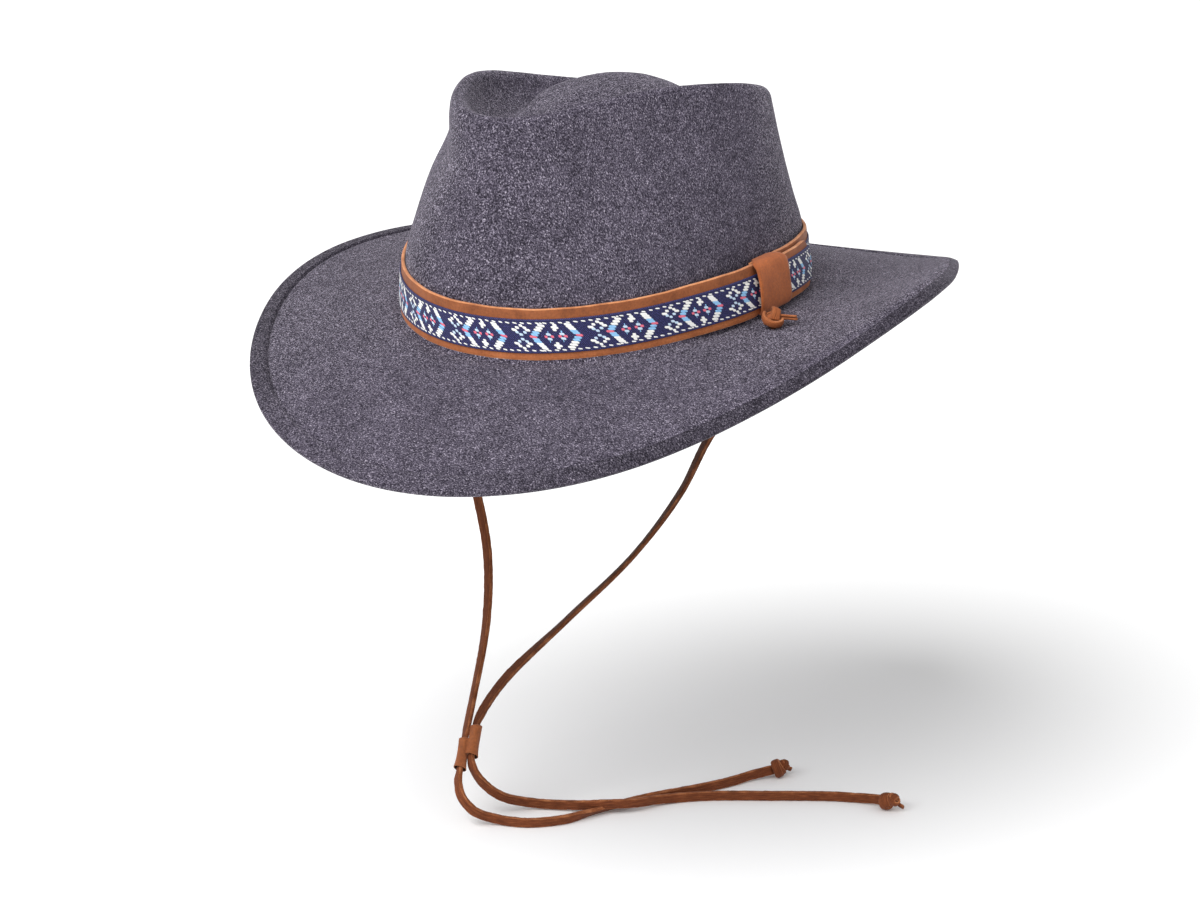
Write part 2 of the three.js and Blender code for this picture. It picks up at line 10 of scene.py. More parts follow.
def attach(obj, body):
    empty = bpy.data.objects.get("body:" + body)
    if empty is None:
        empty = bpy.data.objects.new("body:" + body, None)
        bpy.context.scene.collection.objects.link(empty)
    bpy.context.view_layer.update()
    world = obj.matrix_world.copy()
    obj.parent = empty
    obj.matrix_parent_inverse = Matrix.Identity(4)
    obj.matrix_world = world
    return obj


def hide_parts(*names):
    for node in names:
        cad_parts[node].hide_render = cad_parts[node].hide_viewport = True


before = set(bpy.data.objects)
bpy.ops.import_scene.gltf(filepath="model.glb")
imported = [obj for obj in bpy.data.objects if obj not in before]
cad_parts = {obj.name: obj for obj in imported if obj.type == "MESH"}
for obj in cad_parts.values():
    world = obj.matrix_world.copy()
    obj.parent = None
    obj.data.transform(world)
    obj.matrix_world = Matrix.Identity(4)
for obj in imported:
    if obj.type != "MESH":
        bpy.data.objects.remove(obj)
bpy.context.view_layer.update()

# ------------------------------------------------------------------ sizes (mm), as in the solids
HEAD = dict(half_length=103.0, half_width=89.9, power=2.06, egg=0.025)
FELT = dict(wall=2.2, fold_width=7.2, fold_extra=2.2, edge_round=1.2)
ROLL = dict(rise=2.3, width=4.4, strip=3.45, drop=1.9, tip_drop=1.7, start=8, full=38, end=128, gone=155)      # near-left edge rolled over, degrees
BAND = dict(height=23.6, strap=1.6, gap=0.3, ribbon=0.5, low=3.4, high=19.0, saddle=3.4)
LEAN = dict(ends=0.0096, sides=0.1164)
SEAT = dict(drop=1.4, at_keeper=1.9)
PRESS = dict(centre=95, full=20, fade=22, depth=2.6, tuck=1.0)
BUMP = dict(z=97.8, back=10.5, drop=1.6)
KEEPER = dict(start=82.1, end=98.2, wall=1.2, lift=1.7)
TAIL = dict(start=84, corner=475, tongue=6, rise_from=412, rise_to=440)
HOLE_L, HOLE_R = (101.8, -18.4), (-101.6, 10.7)
SLIDER = dict(centre=(-47.6, -57.45, -217.6), axis=(-0.257, 0.674, 0.693), side=(0.913, 0.405, -0.055),
              half_spacing=2.25, stagger=3.5, length=15.5, bore=4.2, outer=5.3)
FLOOR = -251.5
KNOT = dict(a=(57.7, 51.6), b=(123.6, 43.2), height=4.7, anchor=4.4)
LACE = dict(width=4.5, thick=2.1)
# painted shade on the hanging laces, from the brim's shade: how light the lace colour is at each point
HANG_SHADE = {1: (0.34, 0.46, 0.52, 0.90), 2: (0.68, 0.72, 0.76, 0.90)}      # at the brim, lower, above the slider, below it

COLUMNS = ("deg", "crest_r", "crest_z", "shoulder", "bulge", "pinch", "channel_r", "channel_drop", "brim", "edge_z", "curl")
ROWS = [
    (-150, 77.4, 80.0, 5, 0.0, 0.0, 54, 7, 69.1, -15.4, 1.0),
    (-120, 69.0, 88.2, 5, 0.0, 0.0, 48, 12, 74.1, -5.7, 2.0),
    (-90, 62.8, 96.9, 5, 0.6, 0.0, 43, 17, 77.2, -5.7, 2.0),
    (-60, 62.0, 100.5, 5, 1.0, 3.0, 40, 21, 72.2, -14.7, 1.0),
    (-30, 70.8, 100.1, 5, 0.5, 4.0, 44, 24, 72.7, -30.0, 0.0),
    (0, 80.2, 100.3, 4.2, 1.0, 0.0, 55, 25, 75.4, -41.2, 0.0),
    (30, 70.3, 105.6, 3.8, 0.5, 2.0, 45, 24, 68.7, -31.7, 0.0),
    (60, 60.5, 107.8, 3.8, 0.5, 1.5, 40, 21, 65.6, -8.4, 2.0),
    (90, 66.3, 105.0, 5, -0.5, 0.0, 44, 17, 69.6, 12.0, 5.0),
    (120, 74.0, 95.6, 5, -1.0, 0.0, 50, 12, 69.8, 12.4, 5.0),
    (150, 80.2, 83.5, 5, -0.5, 0.0, 55, 7, 70.2, -8.5, 2.0),
    (180, 82.6, 77.0, 5, 0.0, 0.0, 58, 6, 70.2, -21.5, 0.5),
]

# lace courses: x, y, z, face (degrees the broad side is turned away from the front view)
SLIDE = None
LEFT_COURSE = [
    (101.8, -18.4, -7.0, 75), (93.9, -18.7, -20.6, 66), (70.6, -23.4, -53.2, 60), (54.6, -24.1, -82.6, 70),
    (27.4, -24.5, -118.4, 80), (-8.5, -28.3, -155.6, 74), (-40.5, -38.7, -190.5, 40),
    (SLIDE, 1, 0, 40),
    (-41.4, -61.6, -227.2, 50), (-37.5, -59.3, -234.0, 34), (-32.1, -53.2, -241.2, 22), (-24.8, -40.7, -247.5, 18),
    (-12.4, -33.8, -248.6, 17), (-0.1, -30.6, -247.3, 17), (9.4, -26.9, -246.3, 17), (19.8, -18.5, -246.6, 17),
    (26.6, -4.5, -248.4, 17), (39.7, 8.5, -249.2, 17), (68.5, 25.4, -249.2, 17), (98.1, 40.8, -249.2, 17),
    (113.3, 45.0, -248.4, 17),
]
RIGHT_COURSE = [
    (-101.6, 10.7, -10.0, 60), (-99.5, 4.5, -40.0, 30), (-81.0, -1.7, -93.5, 25), (-68.5, -7.1, -132.9, 35),
    (-63.9, -12.8, -150.7, 42), (-60.5, -20.5, -168.0, 50), (-58.2, -28.4, -181.2, 58), (-55.2, -41.0, -198.5, 62),
    (SLIDE, -1, 0, 62),
    (-46.4, -68.3, -231.2, 52), (-42.7, -71.1, -237.0, 36), (-36.5, -70.2, -243.2, 22), (-29.8, -63.6, -248.0, 18),
    (-14.3, -58.0, -249.2, 17), (-1.4, -46.7, -249.3, 30), (6.3, -30.1, -250.0, 70), (15.1, -11.5, -250.0, 56),
    (27.6, 6.3, -249.5, 25), (40.4, 25.4, -249.2, 17), (48.7, 41.2, -248.4, 17),
]

VIEW_A, VIEW_E, VIEW_ROLL = 0.59341, 0.28986, 0.03183      # the photo's direction
VIEW_D, VIEW_S, VIEW_C = 1976.44, 2.16354, (604.852, 289.425)


# ------------------------------------------------------------------ camera (made first)
def norm(v):
    v = np.asarray(v, float)
    return v / np.linalg.norm(v, axis=-1, keepdims=True)


def camera_frame():
    a, e, r = VIEW_A, VIEW_E, VIEW_ROLL
    d = np.array([math.sin(a) * math.cos(e), -math.cos(a) * math.cos(e), math.sin(e)])
    right = np.array([math.cos(a), math.sin(a), 0.0])
    up = np.cross(d, right)
    f = VIEW_S * VIEW_D
    rx = math.cos(r) * right - math.sin(r) * up
    ry = math.sin(r) * right + math.cos(r) * up
    v = norm([(VIEW_C[0] - 600) / f, (450 - VIEW_C[1]) / f, -1.0])
    k = np.cross([0, 0, -1.0], v)
    sn, cs = np.linalg.norm(k), -v[2]
    k = k / sn
    K = np.array([[0, -k[2], k[1]], [k[2], 0, -k[0]], [-k[1], k[0], 0]])
    turn = np.eye(3) + sn * K + (1 - cs) * K @ K
    return VIEW_D * d, turn @ np.stack([rx, ry, d]), f


CAM_POS, CAM_M, CAM_F = camera_frame()
TOWARD = norm(CAM_POS - np.array([0.0, 0.0, -70.0]))

cam_data = bpy.data.cameras.new("view_camera")
cam_data.sensor_fit = "HORIZONTAL"
cam_data.sensor_width = 36.0
cam_data.lens = CAM_F * 36.0 / 1200.0
cam_data.clip_start, cam_data.clip_end = 0.05, 50.0
cam = bpy.data.objects.new("view_camera", cam_data)
bpy.context.scene.collection.objects.link(cam)
m = Matrix.Identity(4)
for i in range(3):
    for j in range(3):
        m[i][j] = CAM_M[j][i]
    m[i][3] = CAM_POS[i] / 1000.0
cam.matrix_world = m
bpy.context.scene.camera = cam


# ------------------------------------------------------------------ node materials
def new_material(name):
    mat = bpy.data.materials.new(name)
    mat.use_nodes = True
    nt = mat.node_tree
    nt.nodes.clear()
    out = nt.nodes.new("ShaderNodeOutputMaterial")
    bsdf = nt.nodes.new("ShaderNodeBsdfPrincipled")
    nt.links.new(bsdf.outputs["BSDF"], out.inputs["Surface"])
    coord = nt.nodes.new("ShaderNodeTexCoord")
    return mat, nt, bsdf, coord


def srgb(r, g, b):
    def lin(c):
        c = c / 255.0
        return c / 12.92 if c <= 0.04045 else ((c + 0.055) / 1.055) ** 2.4
    return (lin(r), lin(g), lin(b), 1.0)


def mapped(nt, coord, scale=(1, 1, 1), rotation=(0, 0, 0)):
    mp = nt.nodes.new("ShaderNodeMapping")
    mp.inputs["Scale"].default_value = scale
    mp.inputs["Rotation"].default_value = rotation
    nt.links.new(coord.outputs["Object"], mp.inputs["Vector"])
    return mp.outputs["Vector"]


def noise(nt, vector, scale, detail=2.0, rough=0.5, distort=0.0):
    n = nt.nodes.new("ShaderNodeTexNoise")
    n.inputs["Scale"].default_value = scale
    n.inputs["Detail"].default_value = detail
    n.inputs["Roughness"].default_value = rough
    n.inputs["Distortion"].default_value = distort
    nt.links.new(vector, n.inputs["Vector"])
    return n.outputs["Fac"]


def ramp(nt, fac, stops):
    r = nt.nodes.new("ShaderNodeValToRGB")
    els = r.color_ramp.elements
    while len(els) < len(stops):
        els.new(0.5)
    for el, (pos, col) in zip(els, stops):
        el.position = pos
        el.color = col
    nt.links.new(fac, r.inputs["Fac"])
    return r.outputs["Color"]


def math_node(nt, op, a, b=None, c=None):
    n = nt.nodes.new("ShaderNodeMath")
    n.operation = op
    for i, v in enumerate((a, b, c)):
        if v is None:
            continue
        if isinstance(v, (int, float)):
            n.inputs[i].default_value = v
        else:
            nt.links.new(v, n.inputs[i])
    return n.outputs[0]


def mix_colour(nt, fac, a, b, blend="MIX"):
    n = nt.nodes.new("ShaderNodeMix")
    n.data_type = "RGBA"
    n.blend_type = blend
    ins = [s for s in n.inputs if s.type == "RGBA"]
    fac_in = n.inputs[0]
    if isinstance(fac, (int, float)):
        fac_in.default_value = fac
    else:
        nt.links.new(fac, fac_in)
    for s, v in zip(ins, (a, b)):
        if isinstance(v, tuple):
            s.default_value = v
        else:
            nt.links.new(v, s)
    return [o for o in n.outputs if o.type == "RGBA"][0]


def bump(nt, bsdf, height, distance, strength=1.0, previous=None):
    b = nt.nodes.new("ShaderNodeBump")
    b.inputs["Strength"].default_value = strength
    b.inputs["Distance"].default_value = distance
    nt.links.new(height, b.inputs["Height"])
    if previous is not None:
        nt.links.new(previous, b.inputs["Normal"])
    nt.links.new(b.outputs["Normal"], bsdf.inputs["Normal"])
    return b.outputs["Normal"]


def felt_material():
    mat, nt, bsdf, co = new_material("wool_felt")
    # short fibres in three directions, as a heathered wool
    fibres = []
    for k, rot in enumerate(((0.3, 0.2, 0.1), (1.2, 0.5, 0.9), (0.4, 1.3, 2.1))):
        v = mapped(nt, co, (1.0, 2.2, 1.0), rot)
        fibres.append(noise(nt, v, 1120 + 180 * k, 2.0, 0.6, 0.5))
    light = math_node(nt, "MAXIMUM", math_node(nt, "MAXIMUM", fibres[0], fibres[1]), fibres[2])
    dark = math_node(nt, "MINIMUM", math_node(nt, "MINIMUM", fibres[0], fibres[1]), fibres[2])
    both = math_node(nt, "MULTIPLY", math_node(nt, "ADD", light, dark), 0.5)
    # seen at a slant the standing nap shows more light and dark
    slant = nt.nodes.new("ShaderNodeLayerWeight")
    slant.inputs["Blend"].default_value = 0.5
    more = nt.nodes.new("ShaderNodeMapRange")
    more.interpolation_type = "SMOOTHSTEP"
    for socket, value in (("From Min", 0.40), ("From Max", 0.76), ("To Min", 1.06), ("To Max", 2.1)):
        more.inputs[socket].default_value = value
    nt.links.new(slant.outputs["Facing"], more.inputs["Value"])
    swing = math_node(nt, "MULTIPLY", math_node(nt, "SUBTRACT", both, 0.5), more.outputs["Result"])
    level = math_node(nt, "MULTIPLY_ADD", more.outputs["Result"], -0.023, 0.5235)
    nap = math_node(nt, "ADD", swing, level)
    base = ramp(nt, nap, [
        (0.36, srgb(18, 16, 23)), (0.445, srgb(45, 41, 51)), (0.50, srgb(71, 66, 78)),
        (0.555, srgb(101, 95, 109)), (0.64, srgb(184, 177, 190))])
    cloud = noise(nt, mapped(nt, co), 45, 4.0, 0.62)
    patch = noise(nt, mapped(nt, co), 300, 2.0, 0.5)
    tone = ramp(nt, cloud, [(0.30, (0.84, 0.84, 0.85, 1)), (0.70, (1.16, 1.16, 1.16, 1))])
    tone2 = ramp(nt, patch, [(0.30, (0.78, 0.78, 0.79, 1)), (0.70, (1.22, 1.22, 1.22, 1))])
    colour = mix_colour(nt, 1.0, mix_colour(nt, 1.0, base, tone, "MULTIPLY"), tone2, "MULTIPLY")
    # painted shade: the folded strip round the edge is coloured darker (UV = how strongly, mm from the edge)
    sep = nt.nodes.new("ShaderNodeSeparateXYZ")
    nt.links.new(co.outputs["UV"], sep.inputs[0])
    inside = nt.nodes.new("ShaderNodeMapRange")
    inside.interpolation_type = "SMOOTHSTEP"
    for socket, value in (("From Min", 6.7), ("From Max", 7.7), ("To Min", 0.42), ("To Max", 0.0)):
        inside.inputs[socket].default_value = value
    nt.links.new(sep.outputs[1], inside.inputs["Value"])
    edge_strip_shade = math_node(nt, "MULTIPLY", inside.outputs["Result"], sep.outputs[0])
    colour = mix_colour(nt, edge_strip_shade, colour, (0.0, 0.0, 0.0, 1.0))
    # painted shade in the crease where the strip is pressed down, darkest in its middle
    off = math_node(nt, "ABSOLUTE", math_node(nt, "SUBTRACT", sep.outputs[1], 7.5))
    crease_shade = nt.nodes.new("ShaderNodeMapRange")
    crease_shade.interpolation_type = "SMOOTHSTEP"
    for socket, value in (("From Min", 0.15), ("From Max", 0.8), ("To Min", 0.50), ("To Max", 0.0)):
        crease_shade.inputs[socket].default_value = value
    nt.links.new(off, crease_shade.inputs["Value"])
    colour = mix_colour(nt, math_node(nt, "MULTIPLY", crease_shade.outputs["Result"], sep.outputs[0]), colour, (0.0, 0.0, 0.0, 1.0))
    nt.links.new(colour, bsdf.inputs["Base Color"])
    bsdf.inputs["Roughness"].default_value = 0.96
    bsdf.inputs["Specular IOR Level"].default_value = 0.12
    bsdf.inputs["Sheen Weight"].default_value = 0.30
    bsdf.inputs["Sheen Roughness"].default_value = 0.32
    bsdf.inputs["Sheen Tint"].default_value = srgb(190, 184, 198)
    n1 = bump(nt, bsdf, both, 0.00028, 0.6)
    bump(nt, bsdf, patch, 0.0005, 0.25, n1)
    return mat


def leather_material(name, main, dark, light, grain=1400, rough=0.58, streak=False, grain_depth=0.00016, sheen=0.05):
    mat, nt, bsdf, co = new_material(name)
    blotch = noise(nt, mapped(nt, co), 120, 4.0, 0.6)
    fine = noise(nt, mapped(nt, co, (1.0, 1.0, 1.8) if streak else (1, 1, 1)), grain, 3.0, 0.6)
    c1 = ramp(nt, blotch, [(0.30, dark), (0.50, main), (0.72, light)])
    c2 = ramp(nt, fine, [(0.32, (0.80, 0.78, 0.76, 1)), (0.62, (1.10, 1.10, 1.10, 1))])
    nt.links.new(mix_colour(nt, 1.0, c1, c2, "MULTIPLY"), bsdf.inputs["Base Color"])
    r = ramp(nt, fine, [(0.3, (rough - 0.08,) * 3 + (1,)), (0.7, (rough + 0.10,) * 3 + (1,))])
    nt.links.new(r, bsdf.inputs["Roughness"])
    bsdf.inputs["Specular IOR Level"].default_value = 0.32
    bsdf.inputs["Sheen Weight"].default_value = sheen
    bsdf.inputs["Sheen Roughness"].default_value = 0.5
    cells = nt.nodes.new("ShaderNodeTexVoronoi")
    cells.feature = "DISTANCE_TO_EDGE"
    cells.inputs["Scale"].default_value = grain * 0.9
    nt.links.new(mapped(nt, co), cells.inputs["Vector"])
    pores = math_node(nt, "MINIMUM", cells.outputs["Distance"], 0.25)
    n1 = bump(nt, bsdf, fine, grain_depth, 0.6)
    bump(nt, bsdf, pores, grain_depth, 0.35, n1)
    return mat


def uv_vector(nt, co, scale):
    mp = nt.nodes.new("ShaderNodeMapping")
    mp.inputs["Scale"].default_value = scale
    nt.links.new(co.outputs["UV"], mp.inputs["Vector"])
    return mp.outputs["Vector"]


def lace_material(name, main, dark, light, rough, hairy=0.0, tone=None):
    """suede lace: grain lines run along it (UV = mm along, mm across); tone = (mm along, how light), painted shade
    along the hanging lace
    """
    mat, nt, bsdf, co = new_material(name)
    lines = noise(nt, uv_vector(nt, co, (0.16, 2.6, 1.0)), 1.0, 3.0, 0.65)
    blotch = noise(nt, uv_vector(nt, co, (0.10, 0.25, 1.0)), 1.0, 3.0, 0.6)
    fine = noise(nt, mapped(nt, co), 2600, 2.0, 0.6)
    c1 = ramp(nt, lines, [(0.30, dark), (0.50, main), (0.70, light)])
    c2 = ramp(nt, blotch, [(0.30, (0.80, 0.78, 0.76, 1)), (0.70, (1.12, 1.12, 1.12, 1))])
    c3 = ramp(nt, fine, [(0.30, (0.82, 0.80, 0.78, 1)), (0.66, (1.12 + hairy, 1.12 + hairy, 1.12 + hairy, 1))])
    col = mix_colour(nt, 1.0, mix_colour(nt, 1.0, c1, c2, "MULTIPLY"), c3, "MULTIPLY")
    if tone:
        sep = nt.nodes.new("ShaderNodeSeparateXYZ")
        nt.links.new(co.outputs["UV"], sep.inputs[0])
        # painted shade along the lace, multiplied into its colour
        brim_shade = ramp(nt, math_node(nt, "DIVIDE", sep.outputs[0], 600.0), [(d / 600.0, (t, t, t, 1)) for d, t in tone])
        col = mix_colour(nt, 1.0, col, brim_shade, "MULTIPLY")
    nt.links.new(col, bsdf.inputs["Base Color"])
    bsdf.inputs["Roughness"].default_value = rough
    bsdf.inputs["Specular IOR Level"].default_value = 0.16
    bsdf.inputs["Sheen Weight"].default_value = 0.06
    bsdf.inputs["Sheen Roughness"].default_value = 0.5
    n1 = bump(nt, bsdf, lines, 0.00030, 0.6)
    bump(nt, bsdf, fine, 0.00020, 0.5, n1)
    return mat


def thread_material(name, main, dark, rough=0.7, sheen=0.1):
    """raised weaving thread: fibres run along the ribbon (UV = mm along, mm up)"""
    mat, nt, bsdf, co = new_material(name)
    strands = noise(nt, uv_vector(nt, co, (0.8, 5.0, 1.0)), 1.0, 2.0, 0.6)
    col = ramp(nt, strands, [(0.25, dark), (0.52, main)])
    nt.links.new(col, bsdf.inputs["Base Color"])
    bsdf.inputs["Roughness"].default_value = rough
    bsdf.inputs["Specular IOR Level"].default_value = 0.45
    bsdf.inputs["Sheen Weight"].default_value = sheen
    bsdf.inputs["Sheen Roughness"].default_value = 0.4
    bump(nt, bsdf, strands, 0.00010, 0.5)
    return mat


def ground_material():
    """navy ribbon ground: fine twill of navy and violet threads"""
    mat, nt, bsdf, co = new_material("ribbon_ground")
    sep = nt.nodes.new("ShaderNodeSeparateXYZ")
    nt.links.new(co.outputs["UV"], sep.inputs[0])
    su, hv = sep.outputs[0], sep.outputs[1]
    warp = noise(nt, uv_vector(nt, co, (0.5, 0.5, 1.0)), 1.0, 2.0, 0.5)
    su = math_node(nt, "MULTIPLY_ADD", warp, 0.35, su)
    twill = math_node(nt, "SINE", math_node(nt, "MULTIPLY", math_node(nt, "MULTIPLY_ADD", hv, -0.9, su), 6.2832 / 0.92))
    warps = math_node(nt, "SINE", math_node(nt, "MULTIPLY", su, 6.2832 / 0.46))
    mottle = noise(nt, uv_vector(nt, co, (1.6, 1.9, 1.0)), 1.0, 2.0, 0.7)
    v = math_node(nt, "MULTIPLY_ADD", twill, 0.17, mottle)
    v = math_node(nt, "MULTIPLY_ADD", warps, 0.07, v)
    col = ramp(nt, v, [(0.26, srgb(12, 12, 38)), (0.46, srgb(24, 25, 66)), (0.62, srgb(40, 40, 98)), (0.80, srgb(76, 76, 146))])
    nt.links.new(col, bsdf.inputs["Base Color"])
    bsdf.inputs["Roughness"].default_value = 0.62
    bsdf.inputs["Specular IOR Level"].default_value = 0.4
    bsdf.inputs["Sheen Weight"].default_value = 0.08
    bump(nt, bsdf, v, 0.00022, 0.7)
    return mat


MAT_FELT = felt_material()
MAT_STRAP = leather_material("strap_leather", srgb(174, 102, 59), srgb(153, 87, 49), srgb(190, 115, 70), 1100, 0.62)
# darker copy of the strap leather for the upper half of its faces: painted shade
MAT_STRAP_TOP_SHADE = leather_material("strap_leather_upper_shade", srgb(143, 81, 44), srgb(124, 68, 36), srgb(158, 92, 54), 1100, 0.62)
MAT_STRAP_EDGE = leather_material("strap_cut_edge", srgb(204, 134, 88), srgb(170, 104, 64), srgb(224, 160, 114), 1500, 0.85,
                                  grain_depth=0.0003, sheen=0.2)
MAT_KEEPER = leather_material("keeper_leather", srgb(169, 91, 44), srgb(158, 84, 40), srgb(178, 98, 50), 1000, 0.72,
                              grain_depth=0.00012, sheen=0.15)
MAT_LACE = lace_material("lace_leather", srgb(118, 62, 33), srgb(84, 42, 22), srgb(146, 84, 50), 0.72)
MAT_TIE = lace_material("lace_leather_pale", srgb(156, 88, 50), srgb(126, 68, 38), srgb(176, 106, 64), 0.75)
# near-black leather for the inside of the slider's tubes: painted shade in the bores
MAT_SLIDE_BORE_SHADE = leather_material("slide_bore_shade", srgb(50, 27, 17), srgb(38, 20, 13), srgb(62, 34, 22), 1000, 0.9)
MAT_SLIDE = leather_material("slide_leather", srgb(142, 79, 39), srgb(122, 67, 33), srgb(156, 91, 49), 1000, 0.72,
                             grain_depth=0.00012, sheen=0.15)
MAT_LACE_EDGE = lace_material("lace_cut_edge", srgb(148, 88, 54), srgb(104, 58, 34), srgb(190, 128, 88), 0.92, hairy=0.2)
MAT_NAVY = ground_material()
MAT_WHITE = thread_material("ribbon_white", srgb(250, 250, 246), srgb(226, 225, 224), 0.5, 0.05)
MAT_BLUE = thread_material("ribbon_light_blue", srgb(150, 202, 242), srgb(110, 164, 218), 0.42, 0.05)
MAT_SKY = thread_material("ribbon_pale_blue", srgb(206, 226, 244), srgb(158, 184, 220), 0.5, 0.05)
MAT_PINK = thread_material("ribbon_pink", srgb(236, 116, 138), srgb(196, 76, 98), 0.42, 0.05)


# ------------------------------------------------------------------ mesh helpers
def add_mesh(name, verts_mm, faces, materials, face_material=None, smooth=True, node=None, uv=None):
    me = bpy.data.meshes.new(name)
    me.from_pydata((np.asarray(verts_mm, float) / 1000.0).tolist(), [], [list(map(int, f)) for f in faces])
    me.validate()
    for mt in materials:
        me.materials.append(mt)
    if face_material is not None:
        me.polygons.foreach_set("material_index", np.asarray(face_material, dtype=np.int32))
    me.polygons.foreach_set("use_smooth", np.full(len(me.polygons), smooth, dtype=bool))
    if uv is not None:
        at = np.zeros(len(me.loops), dtype=np.int32)
        me.loops.foreach_get("vertex_index", at)
        me.uv_layers.new(name="surface").data.foreach_set("uv", np.asarray(uv, float)[at].astype(np.float32).ravel())
    me.update()
    ob = bpy.data.objects.new(name, me)
    bpy.context.scene.collection.objects.link(ob)
    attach(ob, "root")
    if node:
        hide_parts(*([node] if isinstance(node, str) else node))
    return ob


def grid_faces(rows, cols, wrap_cols=True, wrap_rows=False, start=0, flip=False):
    """quads of a grid whose vertex (r, c) is start + r*cols + c"""
    out = []
    for r in range(rows if wrap_rows else rows - 1):
        r2 = (r + 1) % rows
        for c in range(cols if wrap_cols else cols - 1):
            c2 = (c + 1) % cols
            q = (start + r * cols + c, start + r * cols + c2, start + r2 * cols + c2, start + r2 * cols + c)
            out.append(q[::-1] if flip else q)
    return out


def smooth01(x):
    t = np.clip(x, 0, 1)
    return t * t * (3 - 2 * t)


def ring(column):
    k0 = COLUMNS.index(column)
    n = len(ROWS)
    t = np.radians([r[0] for r in ROWS])
    f = np.array([r[k0] for r in ROWS], float)

    def value(th):
        out = np.full(np.shape(th), f.mean())
        for k in range(1, n // 2 + 1):
            w = 2.0 / n if k < n // 2 else 1.0 / n
            a = w * (f * np.cos(k * t)).sum()
            b = w * (f * np.sin(k * t)).sum() if k < n // 2 else 0.0
            out = out + a * np.cos(k * th) + b * np.sin(k * th)
        return out
    return value


R = {c: ring(c) for c in COLUMNS[1:]}


def oval(th):
    c, s = -np.cos(th), np.sin(th)
    r = (np.abs(c) ** HEAD["power"] / HEAD["half_length"] ** HEAD["power"]
         + np.abs(s) ** HEAD["power"] / HEAD["half_width"] ** HEAD["power"]) ** (-1 / HEAD["power"])
    return r * s * (1 + HEAD["egg"] * c), r * c


def oval_frame(th):
    x, y = oval(th)
    r = np.hypot(x, y)
    x1, y1 = oval(th + 1e-3)
    x0, y0 = oval(th - 1e-3)
    ln = np.hypot(x1 - x0, y1 - y0)
    nx, ny = (y1 - y0) / ln, -(x1 - x0) / ln
    s = np.sign(nx * x + ny * y)
    return r, x / r, y / r, nx * s, ny * s


def seat_z(th):
    return -BAND["saddle"] * np.cos(2 * th)


def lean(th):
    return np.tan(LEAN["ends"] * np.cos(th) ** 2 + LEAN["sides"] * np.sin(th) ** 2)


def press(th):
    d = np.abs(np.mod(np.degrees(th) - PRESS["centre"] + 540, 360) - 180)
    return 1 - smooth01((d - PRESS["full"]) / PRESS["fade"])


def wall_r(th, h):
    return oval_frame(th)[0] - BAND["strap"] - BAND["gap"] - 0.2 - h * lean(th)


# ------------------------------------------------------------------ chin laces (made right after the camera)
SL_AXIS = norm(SLIDER["axis"])
SL_SIDE = np.array(SLIDER["side"]) - np.dot(SLIDER["side"], SL_AXIS) * SL_AXIS
SL_SIDE = norm(SL_SIDE)


def channel(sign):
    return np.array(SLIDER["centre"]) + SL_SIDE * sign * SLIDER["half_spacing"] + SL_AXIS * sign * SLIDER["stagger"]


def rolled(th):
    d = np.mod(np.degrees(th) + 90.0, 360.0) - 90.0
    return smooth01((d - ROLL["start"]) / (ROLL["full"] - ROLL["start"])) * (1 - smooth01((d - ROLL["end"]) / (ROLL["gone"] - ROLL["end"])))


def brim_top(th, q):
    r, ux, uy, nx, ny = oval_frame(th)
    w, zj = press(th), seat_z(th)
    start = wall_r(th, 0) - PRESS["depth"] * w
    width = R["brim"](th) + PRESS["depth"] * w
    run = q * width
    z0 = zj - (SEAT["drop"] + (SEAT["at_keeper"] - SEAT["drop"]) * w)
    edge, curl = R["edge_z"](th), R["curl"](th)
    root = (1.6 + (0.2 - 1.6) * w) * np.exp(-run / 0.8)
    d = width - run
    deg = np.mod(np.degrees(th), 360.0)
    tip = smooth01((deg - 75.0) / 30.0)
    sunk = 1 - smooth01((deg - 116.0) / 18.0)
    rise = rolled(th) * (ROLL["rise"] * np.sin(np.pi / 2 * np.clip(d / ROLL["width"], 0, 1)) * (1 - smooth01((d - 9.0) / 32.0))
                         - (ROLL["drop"] + ROLL["tip_drop"] * tip) * sunk * (1 - smooth01(d / 9.0)))
    return np.stack([ux * start + nx * run, uy * start + ny * run,
                     z0 + (edge - z0 - curl) * q ** 1.45 + curl * q ** 4 + root + rise], -1)


def brim_height(x, y):
    t0 = math.atan2(x, -y)
    t, q = np.meshgrid(t0 + np.arange(-0.12, 0.1201, 0.005), np.arange(0.1, 0.4, 0.004), indexing="ij")
    p = brim_top(t, q)
    d = np.hypot(p[..., 0] - x, p[..., 1] - y)
    return float(p[..., 2].ravel()[np.argmin(d)])


